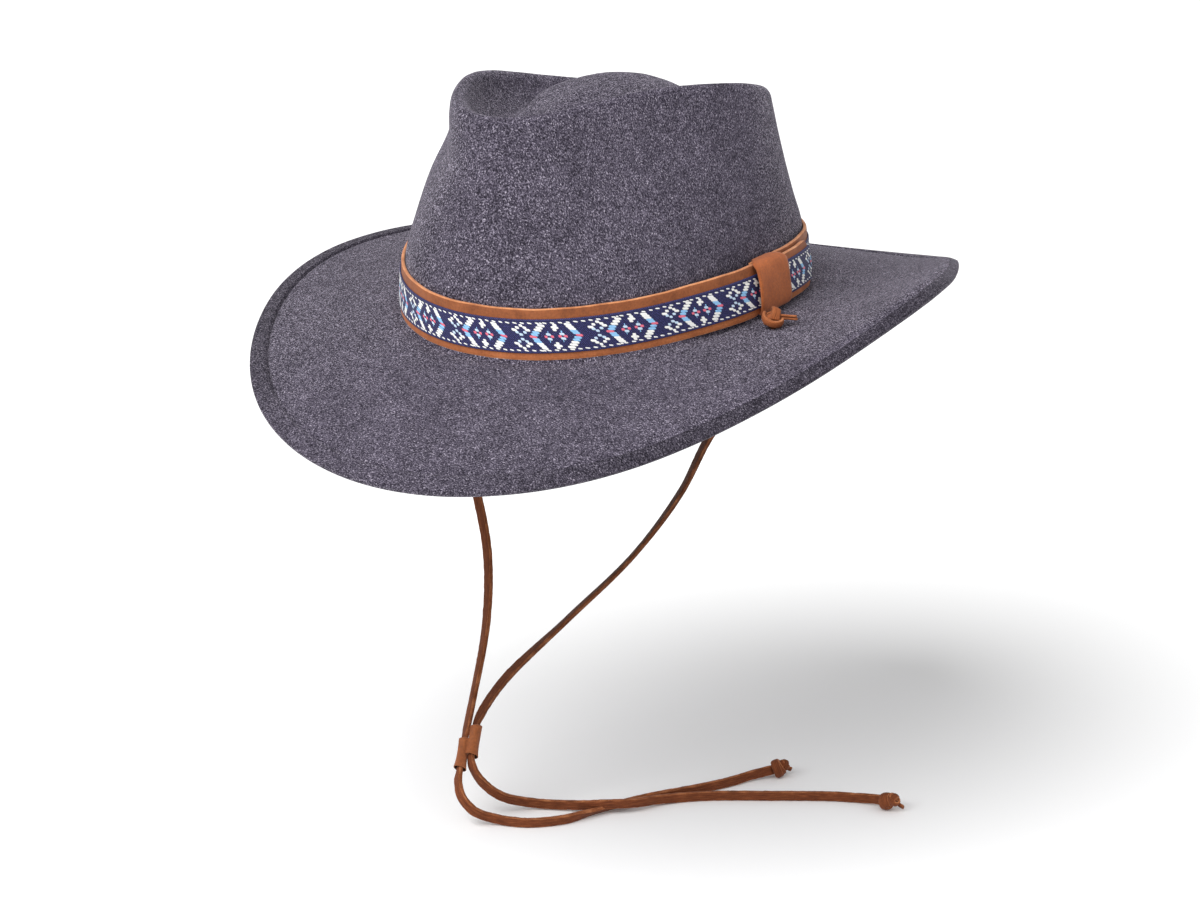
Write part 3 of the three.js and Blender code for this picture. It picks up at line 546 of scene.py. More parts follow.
def catmull_path(points, spacing):
    """centripetal Catmull-Rom through the points, resampled evenly; extra columns ride along"""
    pts = np.asarray(points, float)
    P = pts[:, :3]
    out = []
    for i in range(len(P) - 1):
        p1, p2 = P[i], P[i + 1]
        p0 = P[i - 1] if i else 2 * P[0] - P[1]
        p3 = P[i + 2] if i + 2 < len(P) else 2 * P[-1] - P[-2]
        t0, t1, t2 = (np.linalg.norm(b - a) ** 0.5 + 1e-6 for a, b in ((p0, p1), (p1, p2), (p2, p3)))
        m1 = ((p1 - p0) / t0 - (p2 - p0) / (t0 + t1) + (p2 - p1) / t1) * t1
        m2 = ((p2 - p1) / t1 - (p3 - p1) / (t1 + t2) + (p3 - p2) / t2) * t1
        for s in np.linspace(0, 1, 24, endpoint=False):
            pos = (2 * s**3 - 3 * s**2 + 1) * p1 + (s**3 - 2 * s**2 + s) * m1 + (-2 * s**3 + 3 * s**2) * p2 + (s**3 - s**2) * m2
            ex = pts[i, 3:] + (pts[i + 1, 3:] - pts[i, 3:]) * (s * s * (3 - 2 * s))
            out.append(np.concatenate([pos, ex]))
    out.append(pts[-1])
    out = np.array(out)
    d = np.concatenate([[0], np.cumsum(np.linalg.norm(np.diff(out[:, :3], axis=0), axis=1))])
    n = max(8, int(round(d[-1] / spacing)))
    at = np.linspace(0, d[-1], n + 1)
    return np.stack([np.interp(at, d, out[:, k]) for k in range(out.shape[1])], -1), d[-1]


def strip_profile(width, thick, corner=0.45, per_side=3):
    """closed cross-section of a flat lace, and which of its sides are cut edges"""
    w, t = width / 2, thick / 2
    pts, edge = [], []
    for cx, cy, a0 in ((w, t, 0), (-w, t, 90), (-w, -t, 180), (w, -t, 270)):
        sx, sy = np.sign(cx), np.sign(cy)
        for k in range(per_side):
            a = math.radians(a0 + 90 * k / (per_side - 1))
            pts.append((cx - sx * corner + corner * math.cos(a), cy - sy * corner + corner * math.sin(a)))
    n = len(pts)
    for i in range(n):
        a, b = pts[i], pts[(i + 1) % n]
        edge.append(1 if abs((a[0] + b[0]) / 2) > w - corner * 0.75 else 0)
    return np.array(pts), edge


def puffy_profile(width, thick, count=14):
    """closed cross-section of a lace squeezed in a knot: thicker in the middle, soft at its edges"""
    pts, edge = [], []
    for k in range(count):
        a = 2 * math.pi * (k + 0.5) / count
        c, q = math.cos(a), math.sin(a)
        pts.append((width / 2 * math.copysign(abs(c) ** 0.75, c), thick / 2 * math.copysign(abs(q) ** 0.8, q)))
    for k in range(count):
        edge.append(1 if abs(pts[k][0] + pts[(k + 1) % count][0]) / 2 > width * 0.44 else 0)
    return np.array(pts), edge


def strip_shape(path, profile, edge_flags, width_dir, scale=None, wobble=0.0, seed=3, along=0.0):
    """path (n,3); width_dir (n,3) roughly across the strip; profile (k,2) width x thickness"""
    n, k = len(path), len(profile)
    tan = norm(np.gradient(path, axis=0))
    w = width_dir - (width_dir * tan).sum(-1, keepdims=True) * tan
    w = norm(w)
    b = np.cross(tan, w)
    sc = np.ones((n, 2)) if scale is None else scale
    rng = np.random.RandomState(seed)
    verts = path[:, None, :] + w[:, None, :] * (profile[None, :, 0:1] * sc[:, None, 0:1]) + b[:, None, :] * (profile[None, :, 1:2] * sc[:, None, 1:2])
    if wobble:
        jit = rng.normal(0, wobble, (n, k))
        jit[:, [i for i in range(k) if not (edge_flags[i] or edge_flags[i - 1])]] *= 0.25
        verts = verts + w[:, None, :] * (jit * np.sign(profile[None, :, 0]))[..., None]
    dist = along + np.concatenate([[0], np.cumsum(np.linalg.norm(np.diff(path, axis=0), axis=1))])
    uv = np.stack(np.broadcast_arrays(dist[:, None], profile[None, :, 0] + 0.3 * profile[None, :, 1]), -1).reshape(-1, 2)
    faces = grid_faces(n, k, True, False)
    mats = [edge_flags[c] for r in range(n - 1) for c in range(k)]
    faces.append(list(range(k))[::-1])
    faces.append([(n - 1) * k + i for i in range(k)])
    mats += [1, 1]
    return verts.reshape(-1, 3), faces, mats, uv


def strips_mesh(name, shapes, materials, node):
    """several swept strips as one piece"""
    verts, faces, mats, uv, base = [], [], [], [], 0
    for v, f, m, u in shapes:
        verts.append(v)
        uv.append(u)
        faces += [[base + i for i in q] for q in f]
        mats += m
        base += len(v)
    return add_mesh(name, np.concatenate(verts), faces, materials, mats, node=node, uv=np.concatenate(uv))


def lace(name, course, hole, knot_at, node, seed):
    rows = [(hole[0], hole[1], brim_height(*hole) + 0.2, course[0][3])]
    for x, y, z, face in course:
        if x is SLIDE:
            for s in (1, 0, -1):
                p = channel(y) + SL_AXIS * s * (SLIDER["length"] / 2 + 1.8)
                rows.append((*p, face))
        else:
            rows.append((x, y, z, face))
    end = np.array(knot_at, float)
    back = norm(np.array(rows[-1][:3]) - end)
    rows.append((*(end + back * (KNOT["height"] - 1.6)), 0))
    path, length = catmull_path(rows, 1.6)
    pts, face = path[:, :3], np.radians(path[:, 3])
    tan = norm(np.gradient(pts, axis=0))
    across = np.cross(TOWARD[None, :], tan)
    across = norm(across)
    # keep the across direction from flipping along the lace
    for i in range(1, len(across)):
        if np.dot(across[i], across[i - 1]) < 0:
            across[i] *= -1
    wd = np.cos(face)[:, None] * across + np.sin(face)[:, None] * TOWARD[None, :]
    mid = channel(1 if seed == 1 else -1)
    near = 1 - smooth01((np.abs((pts - mid) @ SL_AXIS) - SLIDER["length"] / 2 - 0.5) / 5.0)
    near = near * (np.linalg.norm(pts - mid, axis=1) < 25)
    scale = np.stack([1 - 0.32 * near, 1 + 0.10 * near], -1)
    # where it lies it rests on the level of the loose ends, whichever way it is turned
    w = norm(wd - (wd * tan).sum(-1, keepdims=True) * tan)
    low = np.abs(w[:, 2]) * LACE["width"] / 2 * scale[:, 0] + np.abs(np.cross(tan, w)[:, 2]) * LACE["thick"] / 2 * scale[:, 1]
    pts[:, 2] = np.maximum(pts[:, 2], FLOOR + low + 0.2)
    prof, flags = strip_profile(LACE["width"], LACE["thick"])
    # painted shade: darker where it hangs under the brim than where it lies in the light
    at_slide = float(length * np.argmin(np.linalg.norm(pts - mid, axis=1)) / (len(pts) - 1))
    tone = [(d, t) for d, t in zip((0.0, 150.0, at_slide - 12, at_slide + 12), HANG_SHADE[seed])]
    face_mat = lace_material(name + "_leather", srgb(118, 62, 33), srgb(84, 42, 22), srgb(146, 84, 50), 0.72, 0.0, tone)
    edge_mat = lace_material(name + "_cut_edge", srgb(140, 82, 50), srgb(98, 54, 31), srgb(182, 120, 80), 0.92, 0.2, tone)
    ob = strips_mesh(name, [strip_shape(pts, prof, flags, wd, scale, 0.07, seed)], [face_mat, edge_mat], node)
    return ob, pts, length, wd


knot_a_at = (*KNOT["a"], FLOOR + KNOT["height"])
knot_b_at = (*KNOT["b"], FLOOR + KNOT["height"])
lace_left, path_left, len_left, wd_left = lace("lace_left", LEFT_COURSE, HOLE_L, knot_b_at, "chin_lace_left", 1)
lace_right, path_right, len_right, wd_right = lace("lace_right", RIGHT_COURSE, HOLE_R, knot_a_at, "chin_lace_right", 2)


def local_frame(forward, up=(0.0, 0.0, 1.0)):
    f = norm(forward)
    u = np.array(up, float)
    u = norm(u - np.dot(u, f) * f)
    return f, u, np.cross(f, u)


def placed(points, centre, f, u, q):
    p = np.asarray(points, float)
    return np.asarray(centre)[None, :] + p[:, 0:1] * f + p[:, 1:2] * u + p[:, 2:3] * q


def band_sweep(points, widths, centre, axes, width, thick, seed, taper=0.0):
    """a puffy strip through local points (forward, up, side); widths = local directions across it"""
    f, u, q = axes
    cols = np.concatenate([np.asarray(points, float), np.asarray(widths, float)], 1)
    dense, _ = catmull_path(cols, 0.55)
    path = placed(dense[:, :3], centre, f, u, q)
    wd = placed(dense[:, 3:6], (0, 0, 0), f, u, q)
    n = len(path)
    k = np.linspace(0, 1, n)
    ends = np.minimum(k, 1 - k) * n * 0.55
    soft = 1 - taper * (1 - smooth01(ends / 1.6))
    prof, flags = puffy_profile(width, thick)
    return strip_shape(path, prof, flags, wd, np.stack([soft, soft], -1), 0.05, seed, along=seed * 11.0)


def loop_points(radius, at, start, turn, tilt, lean_side, count=22, squash=1.0):
    """round the lace: local points and width directions of a wrap whose axis is the lace"""
    pts, wid = [], []
    for k in range(count):
        a = math.radians(start + turn * k / (count - 1))
        up, side = math.sin(a), math.cos(a)
        fwd = at + radius * (tilt * up + lean_side * side) + 0.5 * (k / (count - 1) - 0.5)
        pts.append((fwd, radius * up * squash, radius * side))
        wid.append((1.0, -tilt, -lean_side))
    return pts, wid


def end_knot(name, centre, forward, node, seed, turn, ball, tail):
    """overhand knot at a lace's end: a turn round the lace, the folds beyond it, and the short cut end"""
    axes = local_frame(forward)
    shapes = []
    pts, wid = loop_points(turn["r"], turn["at"], -150, 385, turn["tilt"], turn["lean"])
    shapes.append(band_sweep(pts, wid, centre, axes, turn["wide"], 2.4, seed))
    # second layer of the turn, crossing it at a slant
    pts, wid = loop_points(turn["r"] - 0.35, turn["at"] + 1.5, -40, 250, turn["tilt"] - 0.22, turn["lean"] + 0.1, 18)
    shapes.append(band_sweep(pts, wid, centre, axes, turn["wide"] * 0.8, 2.1, seed + 1))
    # folds of the end: two narrow turns that cross
    middle = np.asarray(centre) + axes[1] * ball["up"]
    for k, slant in enumerate((0.75, -0.85)):
        pts, wid = loop_points(ball["r"], ball["at"], 20 + 70 * k, 365, slant, 0.15 - 0.3 * k, 18)
        shapes.append(band_sweep(pts, wid, middle, axes, 3.0, 1.5, seed + 2 + k))
    for at, up, wide in ((turn["at"], 0.0, 3.6), (ball["at"], ball["up"], 2.9)):
        pts = [(at - 2.2, up, 0), (at - 0.7, up, 0), (at + 0.7, up, 0), (at + 2.0, up, 0)]
        shapes.append(band_sweep(pts, [(0, 1, 0)] * 4, centre, axes, wide, wide, seed + 5, 0.5))
    pts = tail
    shapes.append(band_sweep(pts, [(0.35, 0.85, 0.3)] * len(pts), centre, axes, 2.3, 1.5, seed + 6))
    return strips_mesh(name, shapes, [MAT_LACE, MAT_LACE_EDGE], node)


end_dir_left = norm(path_left[-1] - path_left[-6])
end_dir_right = norm(path_right[-1] - path_right[-6])
piece_knot_b = end_knot("knot_end_b", knot_b_at + np.array([0, 0, -0.15]) - end_dir_left * 1.2, end_dir_left, "end_knot_b", 20,
                        dict(r=2.95, at=-0.3, wide=4.6, tilt=-0.10, lean=0.12), dict(r=2.05, at=4.4, up=1.3),
                        [(3.2, 0.2, -1.6), (4.8, -1.2, -1.9), (6.4, -2.1, -1.9), (8.0, -2.7, -1.8)])
piece_knot_a = end_knot("knot_end_a", knot_a_at + np.array([0, 0, 0.1]) - end_dir_right * 0.6, end_dir_right, "end_knot_a", 30,
                        dict(r=3.35, at=-0.2, wide=4.2, tilt=-0.26, lean=-0.20), dict(r=1.75, at=3.3, up=0.9),
                        [(2.2, -0.2, -1.6), (3.8, -1.0, -1.8), (5.4, -2.0, -1.7), (6.9, -2.9, -1.5)])


def slider_piece():
    verts, faces, mats = [], [], []
    for sign in (1, -1):
        c0 = channel(sign)
        e1 = SL_SIDE
        e2 = np.cross(SL_AXIS, e1)
        rings = []
        ns, na = 15, 40
        # outer skin down, round the lip, inner skin up
        prof = []
        L, ro, ri = SLIDER["length"] / 2, SLIDER["outer"] / 2, SLIDER["bore"] / 2
        for s in np.linspace(-L + 0.35, L - 0.35, ns):
            prof.append((s, ro * (1 + 0.02 * ((s / L) ** 2) + 0.05 * max(0.0, s / L) ** 3 + 0.20 * max(0.0, -s / L) ** 2.5)))
        for a in (60, 0, -60):
            prof.append((L - 0.35 + 0.35 * math.cos(math.radians(a)), (ro + ri) / 2 + (ro - ri) / 2 * math.sin(math.radians(a))))
        for s in np.linspace(L - 0.35, -L + 0.35, ns):
            prof.append((s, ri + 0.72 * max(0.0, -s / L) ** 2.5))
        for a in (-60, 0, 60):
            prof.append((-L + 0.35 - 0.35 * math.cos(math.radians(a)), (ro * 1.22 + ri + 0.72) / 2 + (ro * 1.22 - ri - 0.72) / 2 * math.sin(math.radians(a))))
        base = len(verts)
        for s, r in prof:
            for i in range(na):
                a = 2 * math.pi * i / na
                wave = 0.08 * math.sin(2 * a + sign) + 0.05 * math.sin(5 * a + s * 0.4)
                slant = 0.55 * math.cos(a - 0.5) * (s / L)
                skin = r > ri + 0.2 + 0.5 * max(0.0, -s / L) ** 2.5
                verts.append(c0 + SL_AXIS * (s + slant * 0.6) + e1 * (r + wave * skin) * math.cos(a)
                             + e2 * (r + wave * skin) * math.sin(a))
        faces += grid_faces(len(prof), na, True, True, base, flip=True)
        # inner skin of each tube gets the near-black leather: painted shade in the bore
        mats += [1 if ns + 2 <= r <= 2 * ns + 2 else 0 for r in range(len(prof)) for _ in range(na)]
    # leather between the two rolls, in front and behind
    e1, e2 = SL_SIDE, np.cross(SL_AXIS, SL_SIDE)
    reach = SLIDER["length"] / 2 - SLIDER["stagger"] - 0.25
    arc = [(x, 5.06 - math.sqrt(9 - x * x)) for x in np.linspace(-1.24, 1.24, 9)]
    low = [(1.30, 2.08), (0.70, 1.75), (0.13, 1.03), (-0.13, 1.03), (-0.70, 1.75), (-1.30, 2.08)]
    for side in (1, -1):
        base = len(verts)
        section = [(x, y * side) for x, y in arc + low]
        k = len(section)
        for s in np.linspace(-reach, reach, 9):
            for x, y in section:
                verts.append(np.array(SLIDER["centre"]) + SL_AXIS * s + e1 * x + e2 * y)
        faces += grid_faces(9, k, True, False, base, flip=side < 0)
        a, b = [base + i for i in range(k)], [base + 8 * k + i for i in range(k)]
        faces += [a[::-1], b] if side > 0 else [a, b[::-1]]
        mats += [0] * (8 * k + 2)
    return add_mesh("slider", verts, faces, [MAT_SLIDE, MAT_SLIDE_BORE_SHADE], mats, node="lace_slider")


piece_slider = slider_piece()


# ------------------------------------------------------------------ felt crown and brim
def stations(th):
    r, ux, uy, nx, ny = oval_frame(th)
    cr, cz, sh = R["crest_r"](th), R["crest_z"](th), R["shoulder"](th)
    chr_, drop = R["channel_r"](th), R["channel_drop"](th)
    chz, w, zj = cz - drop, press(th), seat_z(th)

    def at(rho, z, back=0.0):
        return np.stack([ux * rho, uy * rho + back, z + 0 * ux], -1)
    p = [at(0 * cr, BUMP["z"], BUMP["back"]),
         at(0.38 * chr_, BUMP["z"] - BUMP["drop"], BUMP["back"] * 0.8),
         at(0.72 * chr_, chz + (BUMP["z"] - chz) * 0.62, BUMP["back"] * 0.4),
         at(chr_, chz),
         at(cr - (cr - chr_) * 0.42, cz - drop * 0.55),
         at(cr - sh * 0.75, cz - sh * 0.22),
         at(cr, cz),
         at(cr + sh * 0.5, cz - sh * 0.5)]
    top_h, mid_h, low_h = BAND["height"] + 1.8, 14.6, 1.6
    r1, z1, r2, z2 = cr + sh * 0.75, cz - sh * 1.6, wall_r(th, top_h), zj + top_h
    p.append(at(r1, z1))
    for g in (0.22, 0.48, 0.75):
        pinch = R["pinch"](th) * np.exp(-(((g - 0.12) / 0.28) ** 2))
        held = 0.35 * PRESS["depth"] * w if g > 0.7 else 0.0
        p.append(at(r1 + (r2 - r1) * g + R["bulge"](th) * 4 * g * (1 - g) - pinch - held, z1 + (z2 - z1) * g))
    for h in (top_h, mid_h, low_h):
        p.append(at(wall_r(th, h) - PRESS["depth"] * w, zj + h))
    return p


def crown_rings(th, per_segment):
    P = stations(th)
    out, m = [], len(P)
    for i in range(m - 1):
        p1, p2 = P[i], P[i + 1]
        n = per_segment[i]
        if i >= 12:
            for k in range(n):
                out.append(p1 + (p2 - p1) * (k / n))
            continue
        d = np.linalg.norm(p2 - p1, axis=-1, keepdims=True) + 1e-9

        def tangent(a, b, c):
            t0 = np.sqrt(np.linalg.norm(b - a, axis=-1, keepdims=True)) + 1e-6
            t1 = np.sqrt(np.linalg.norm(c - b, axis=-1, keepdims=True)) + 1e-6
            return (b - a) / t0 - (c - a) / (t0 + t1) + (c - b) / t1
        if i == 0:
            m1 = (p2 - p1).copy()
            m1[..., 2] = 0
        else:
            m1 = tangent(P[i - 1], p1, p2) * np.sqrt(d)
        m2 = tangent(p1, p2, P[i + 2]) * np.sqrt(d)
        for k in range(n):
            s = k / n
            out.append((2 * s**3 - 3 * s**2 + 1) * p1 + (s**3 - 2 * s**2 + s) * m1 + (-2 * s**3 + 3 * s**2) * p2 + (s**3 - s**2) * m2)
    out.append(P[-1])
    return out


def soft_noise(th, z, seed, terms=7, kmax=9):
    """slow unevenness of blocked felt, smooth round the hat"""
    rng = np.random.RandomState(seed)
    out = 0
    for _ in range(terms):
        k = rng.randint(2, kmax)
        out = out + rng.uniform(0.4, 1.0) * np.sin(k * th + rng.uniform(0, 6.28) + z * rng.uniform(-0.06, 0.06))
    return out / terms


def felt_piece():
    n = 384
    th = np.linspace(0, 2 * np.pi, n, endpoint=False)
    seg = [9, 8, 8, 8, 8, 6, 5, 5, 7, 8, 8, 8, 4, 3]
    crown = crown_rings(th, seg)[1:]
    width = R["brim"](th) + PRESS["depth"] * press(th)
    from_root = [0.001, 0.35, 0.8, 1.4, 2.4, 4, 6.5, 10, 14, 18.5, 23, 28, 33, 38, 43, 48]
    fold = FELT["fold_width"]
    from_edge = [fold + a for a in (3.8, 2.2, 1.4, 0.8, 0.4, 0.0, -0.4, -0.8, -1.3)] + [5.2, 4.4, 3.5, 2.7, 1.9, 1.2, 0.6, 0.0]
    brim = [brim_top(th, r / width) for r in from_root] + [brim_top(th, 1 - r / width) for r in from_edge]
    S = np.stack(crown + brim, 0)                      # rings x angles x 3
    nc = len(crown)
    # normals of the outer surface
    du = np.gradient(S, axis=0)
    dv = np.roll(S, -1, axis=1) - np.roll(S, 1, axis=1)
    N = np.cross(dv, du)
    N /= np.linalg.norm(N, axis=-1, keepdims=True) + 1e-12
    ref = np.zeros_like(N)
    ref[: nc - 1, :, 2] = 1.0
    wall = np.zeros(nc + len(brim), bool)
    sub = sum(seg[:8])
    wall[sub - 1: nc] = True
    rad = np.stack([np.sin(th), -np.cos(th), 0 * th], -1)
    dots = np.where(wall[:, None], (N * rad[None]).sum(-1), N[..., 2])
    N = N * np.sign(dots + 1e-9)[..., None]
    # unevenness, faded out behind the band
    z = S[..., 2]
    uneven = 0.30 * soft_noise(th[None, :], z, 11) + 0.12 * soft_noise(th[None, :], z * 2.5, 12, 9, 30)
    mask = np.ones(len(S))
    mask[nc - 12: nc + 6] = np.concatenate([np.linspace(1, 0, 5), np.zeros(8), np.linspace(0, 1, 5)])
    S = S + N * (uneven * mask[:, None])[..., None]
    # pressed line where the folded strip ends, stronger round the wearer's right and back
    edge_dist = np.array(from_edge)
    groove_w = 0.25 + 0.75 * smooth01((np.cos(th - math.radians(-95)) + 0.35) / 1.0)
    for k, d in enumerate(edge_dist):
        j = nc + len(from_root) + k
        g = np.exp(-(((d - fold - 0.1) / 0.55) ** 2))
        lift = 0.60 * smooth01((fold + 0.1 - d) / 1.2) * (1 - rolled(th))
        S[j] += N[j] * (lift - 0.95 * g * groove_w * (1 - 0.8 * rolled(th)))[:, None]
    T = np.full(S.shape[:2], FELT["wall"])
    for k, d in enumerate(from_edge):
        T[nc + len(from_root) + k] = FELT["wall"] + FELT["fold_extra"] * smooth01((fold + 0.5 - d) / 0.9)
    inner = S - N * T[..., None]
    # rounded brim edge
    a, b = S[-1], inner[-1]
    _, _, _, nx, ny = oval_frame(th)
    out_n = np.stack([nx, ny, 0 * nx], -1)
    lip = []
    for ang in (65, 40, 15, -10, -35, -60):
        c, s = math.cos(math.radians(ang)), math.sin(math.radians(ang))
        fuzz = 0.10 * soft_noise(th, 40 * c, 221 + ang, 12, 90)
        lip.append((a + b) / 2 + (a - b) / 2 * s + out_n * (FELT["edge_round"] * c + fuzz * c)[:, None])
    keep = [j for j in range(len(inner)) if not (nc - 2 <= j <= nc + 3) and (j > nc + 14 or j % 2 == 0)]
    rings = [S[j] for j in range(len(S))] + lip + [inner[j] for j in reversed(keep)]
    verts = [np.array([[0, BUMP["back"], BUMP["z"]]])] + rings + [np.array([[0, BUMP["back"], BUMP["z"] - FELT["wall"]]])]
    verts = np.concatenate(verts, 0)
    # how strongly the painted shade on the edge strip shows, and the distance from the edge (scaled where the edge is
    # rolled over)
    dg = np.mod(np.degrees(th) + 180.0, 360.0) - 180.0
    left = smooth01((dg + 150) / 30.0) * (1 - smooth01((dg + 50) / 35.0))
    strength = np.clip(0.22 + 0.75 * left + 0.85 * rolled(th), 0, 1)
    from_rim = [width * 0 + 99.0] * nc + [width - r for r in from_root] + [width * 0 + d for d in from_edge]
    far = [from_rim[j] * (1 + (fold / ROLL["strip"] - 1) * rolled(th)) for j in range(len(S))]
    rows = far + [width * 0] * len(lip) + [width * 0 + 60.0] * len(keep)
    uv = np.concatenate([[(0.0, 99.0)]] + [np.stack([strength, r], -1) for r in rows] + [[(0.0, 99.0)]])
    faces = grid_faces(len(rings), n, True, False, 1, flip=True)
    last = 1 + (len(rings) - 1) * n
    top, bottom = 0, len(verts) - 1
    for i in range(n):
        k = (i + 1) % n
        faces.append((top, 1 + i, 1 + k))
        faces.append((bottom, last + k, last + i))
    return add_mesh("felt_hat_body", verts, faces, [MAT_FELT], node="felt_body", uv=uv)


felt = felt_piece()


# ------------------------------------------------------------------ band
def lift_at(deg, th):
    inner = BAND["gap"] - PRESS["tuck"] * press(th)
    outer = BAND["gap"] + KEEPER["lift"] * smooth01((deg - TAIL["rise_from"]) / (TAIL["rise_to"] - TAIL["rise_from"]))
    return np.where(deg > 250, outer, inner)


def band_point(deg, offset, h):
    th = np.radians(deg)
    r, ux, uy, nx, ny = oval_frame(th)
    rr = wall_r(th, h) + lift_at(deg, th) + offset
    return np.stack([ux * rr, uy * rr, seat_z(th) + h], -1)


def tail_end(h):
    """where the tail is cut, rounded like a tongue"""
    x = np.clip((h - BAND["height"] / 2) / (BAND["height"] / 2), -1, 1)
    return TAIL["corner"] + TAIL["tongue"] * (1 - x * x) ** 0.62


def tail_warp(deg, h, short=0.0):
    """degrees along the band, with the last part stretched to the tongue's outline"""
    d0, full = 463.0, TAIL["corner"] + TAIL["tongue"]
    return np.where(deg > d0, d0 + (deg - d0) * (tail_end(h) - short - d0) / (full - d0), deg)


def tail_h(deg, h):
    """the tail past the keeper is cut a little narrower"""
    h = h + smooth01((deg - 450.0) / 8.0) * (0.6 - 1.8 * h / BAND["height"])
    d = deg - 360.0 if deg > 250 else deg                 # drawn in a little where the keeper goes under it
    drawn = smooth01((d - 81.6) / 2.0) * (1 - smooth01((d - 96.0) / 2.0))
    return h + drawn * (0.95 * (1 - h / BAND["height"]) ** 2 - 0.45 * (h / BAND["height"]) ** 2)


def arc_of(deg):
    """distance along the band's outer face from the front centre, towards the wearer's left"""
    d = np.linspace(-400, 500, 9001)
    x, y = oval(np.radians(d))
    s = np.concatenate([[0], np.cumsum(np.hypot(np.diff(x), np.diff(y)))])
    s -= np.interp(0, d, s)
    return np.interp(deg, d, s), lambda v: np.interp(v, s, d)


def strap_piece():
    step = 1.5
    full = TAIL["corner"] + TAIL["tongue"]
    deg = np.append(np.arange(TAIL["start"], full - 0.8, step), [full - 0.5, full])
    H, t = BAND["height"], BAND["strap"]
    # cross-section, slightly crowned, with rounded cut edges
    prof, flags = [], []
    c = 0.42
    for o, h in [(0, c), (0, H * 0.3), (0, H * 0.7), (0, H - c), (0.13, H - 0.12), (c, H), (t - c, H), (t - 0.13, H - 0.12), (t, H - c),
                 (t + 0.05, H * 0.92), (t + 0.02, H * 0.8), (t, H * 0.5), (t + 0.02, H * 0.2), (t + 0.05, H * 0.08), (t, c), (t - 0.13, 0.12), (t - c, 0), (c, 0), (0.13, 0.12)]:
        prof.append((o, h))
    k = len(prof)
    for i in range(k):
        a, b = prof[i], prof[(i + 1) % k]
        hm = (a[1] + b[1]) / 2
        # flag 2: upper half of the faces, given the darker copy of the leather as painted shade
        flags.append(1 if (hm > H - 0.6 or hm < 0.6) else (2 if hm > H * 0.55 else 0))
    verts = []
    for j, d in enumerate(deg):
        for o, h in prof:
            wave = 0.12 * math.sin(d * 0.21 + 1.0) + 0.07 * math.sin(d * 0.53)
            hh = tail_h(d, h) + (wave if h > H / 2 else 0.5 * wave)
            verts.append(band_point(np.array(tail_warp(d, h), float), o - (0.35 if j == len(deg) - 1 and o > 1.0 else 0.0), hh))
    verts = np.array(verts)
    faces = grid_faces(len(deg), k, True, False)
    mats = [flags[c2] for r in range(len(deg) - 1) for c2 in range(k)]
    faces.append(list(range(k))[::-1])
    faces.append([(len(deg) - 1) * k + i for i in range(k)])
    mats += [1, 1]
    return add_mesh("strap", verts, faces, [MAT_STRAP, MAT_STRAP_EDGE, MAT_STRAP_TOP_SHADE], mats, node="band_strap")


strap = strap_piece()

# One repeat of the woven motif, charted: row counted from the middle, start and end along the ribbon in mm from
# the last right-pointing apex, and the thread. The lower half mirrors the upper.
REPEAT = 34.1
PHASE = 16.3            # first apex past the front centre
ROW_STEP = 1.045
MIDDLE = 11.05
STITCH_COLUMNS = ("row", "start", "end", "thread")
STITCHES = [
    # left-pointing chevron
    (0, 10.15, 13.7, "pink"), (1, 11.2, 14.5, "blue"), (2, 11.8, 15.25, "blue"), (3, 12.85, 16.1, "white"),
    (4, 13.7, 17.0, "white"), (5, 14.7, 17.9, "white"), (6, 15.5, 16.8, "white"),
    # right-pointing chevron
    (0, 30.75, 34.0, "pink"), (1, 29.75, 33.1, "blue"), (2, 28.85, 32.3, "blue"), (3, 28.05, 31.6, "white"),
    (4, 27.25, 30.8, "white"), (5, 26.5, 29.85, "white"),
    # two small flowers
    (0, 16.9, 18.4, "pink"), (0, 19.7, 21.3, "pink"), (1, 18.0, 20.1, "sky"), (2, 18.75, 19.2, "blue"),
    (0, 23.0, 24.6, "pink"), (0, 25.5, 27.2, "pink"), (1, 23.9, 26.1, "sky"), (2, 24.75, 25.2, "blue"),
    # spade between them
    (3, 21.25, 22.9, "white"), (4, 20.5, 24.05, "white"), (5, 21.45, 23.2, "white"),
    # four-petalled flower
    (1, 5.9, 7.65, "sky"), (2, 4.2, 5.9, "sky"), (2, 7.75, 9.4, "sky"), (3, 2.45, 5.1, "white"), (3, 8.7, 11.15, "white"),
    (4, 4.35, 6.1, "white"), (4, 7.8, 9.55, "white"), (5, 6.15, 7.85, "white"),
]
DASH = dict(row=6, first=-0.1, pitch=3.43, length=1.95, count=10)     # running stitch near each edge
STITCHES += [(DASH["row"], DASH["first"] + DASH["pitch"] * k, DASH["first"] + DASH["pitch"] * k + DASH["length"], "white")
             for k in range(DASH["count"])]


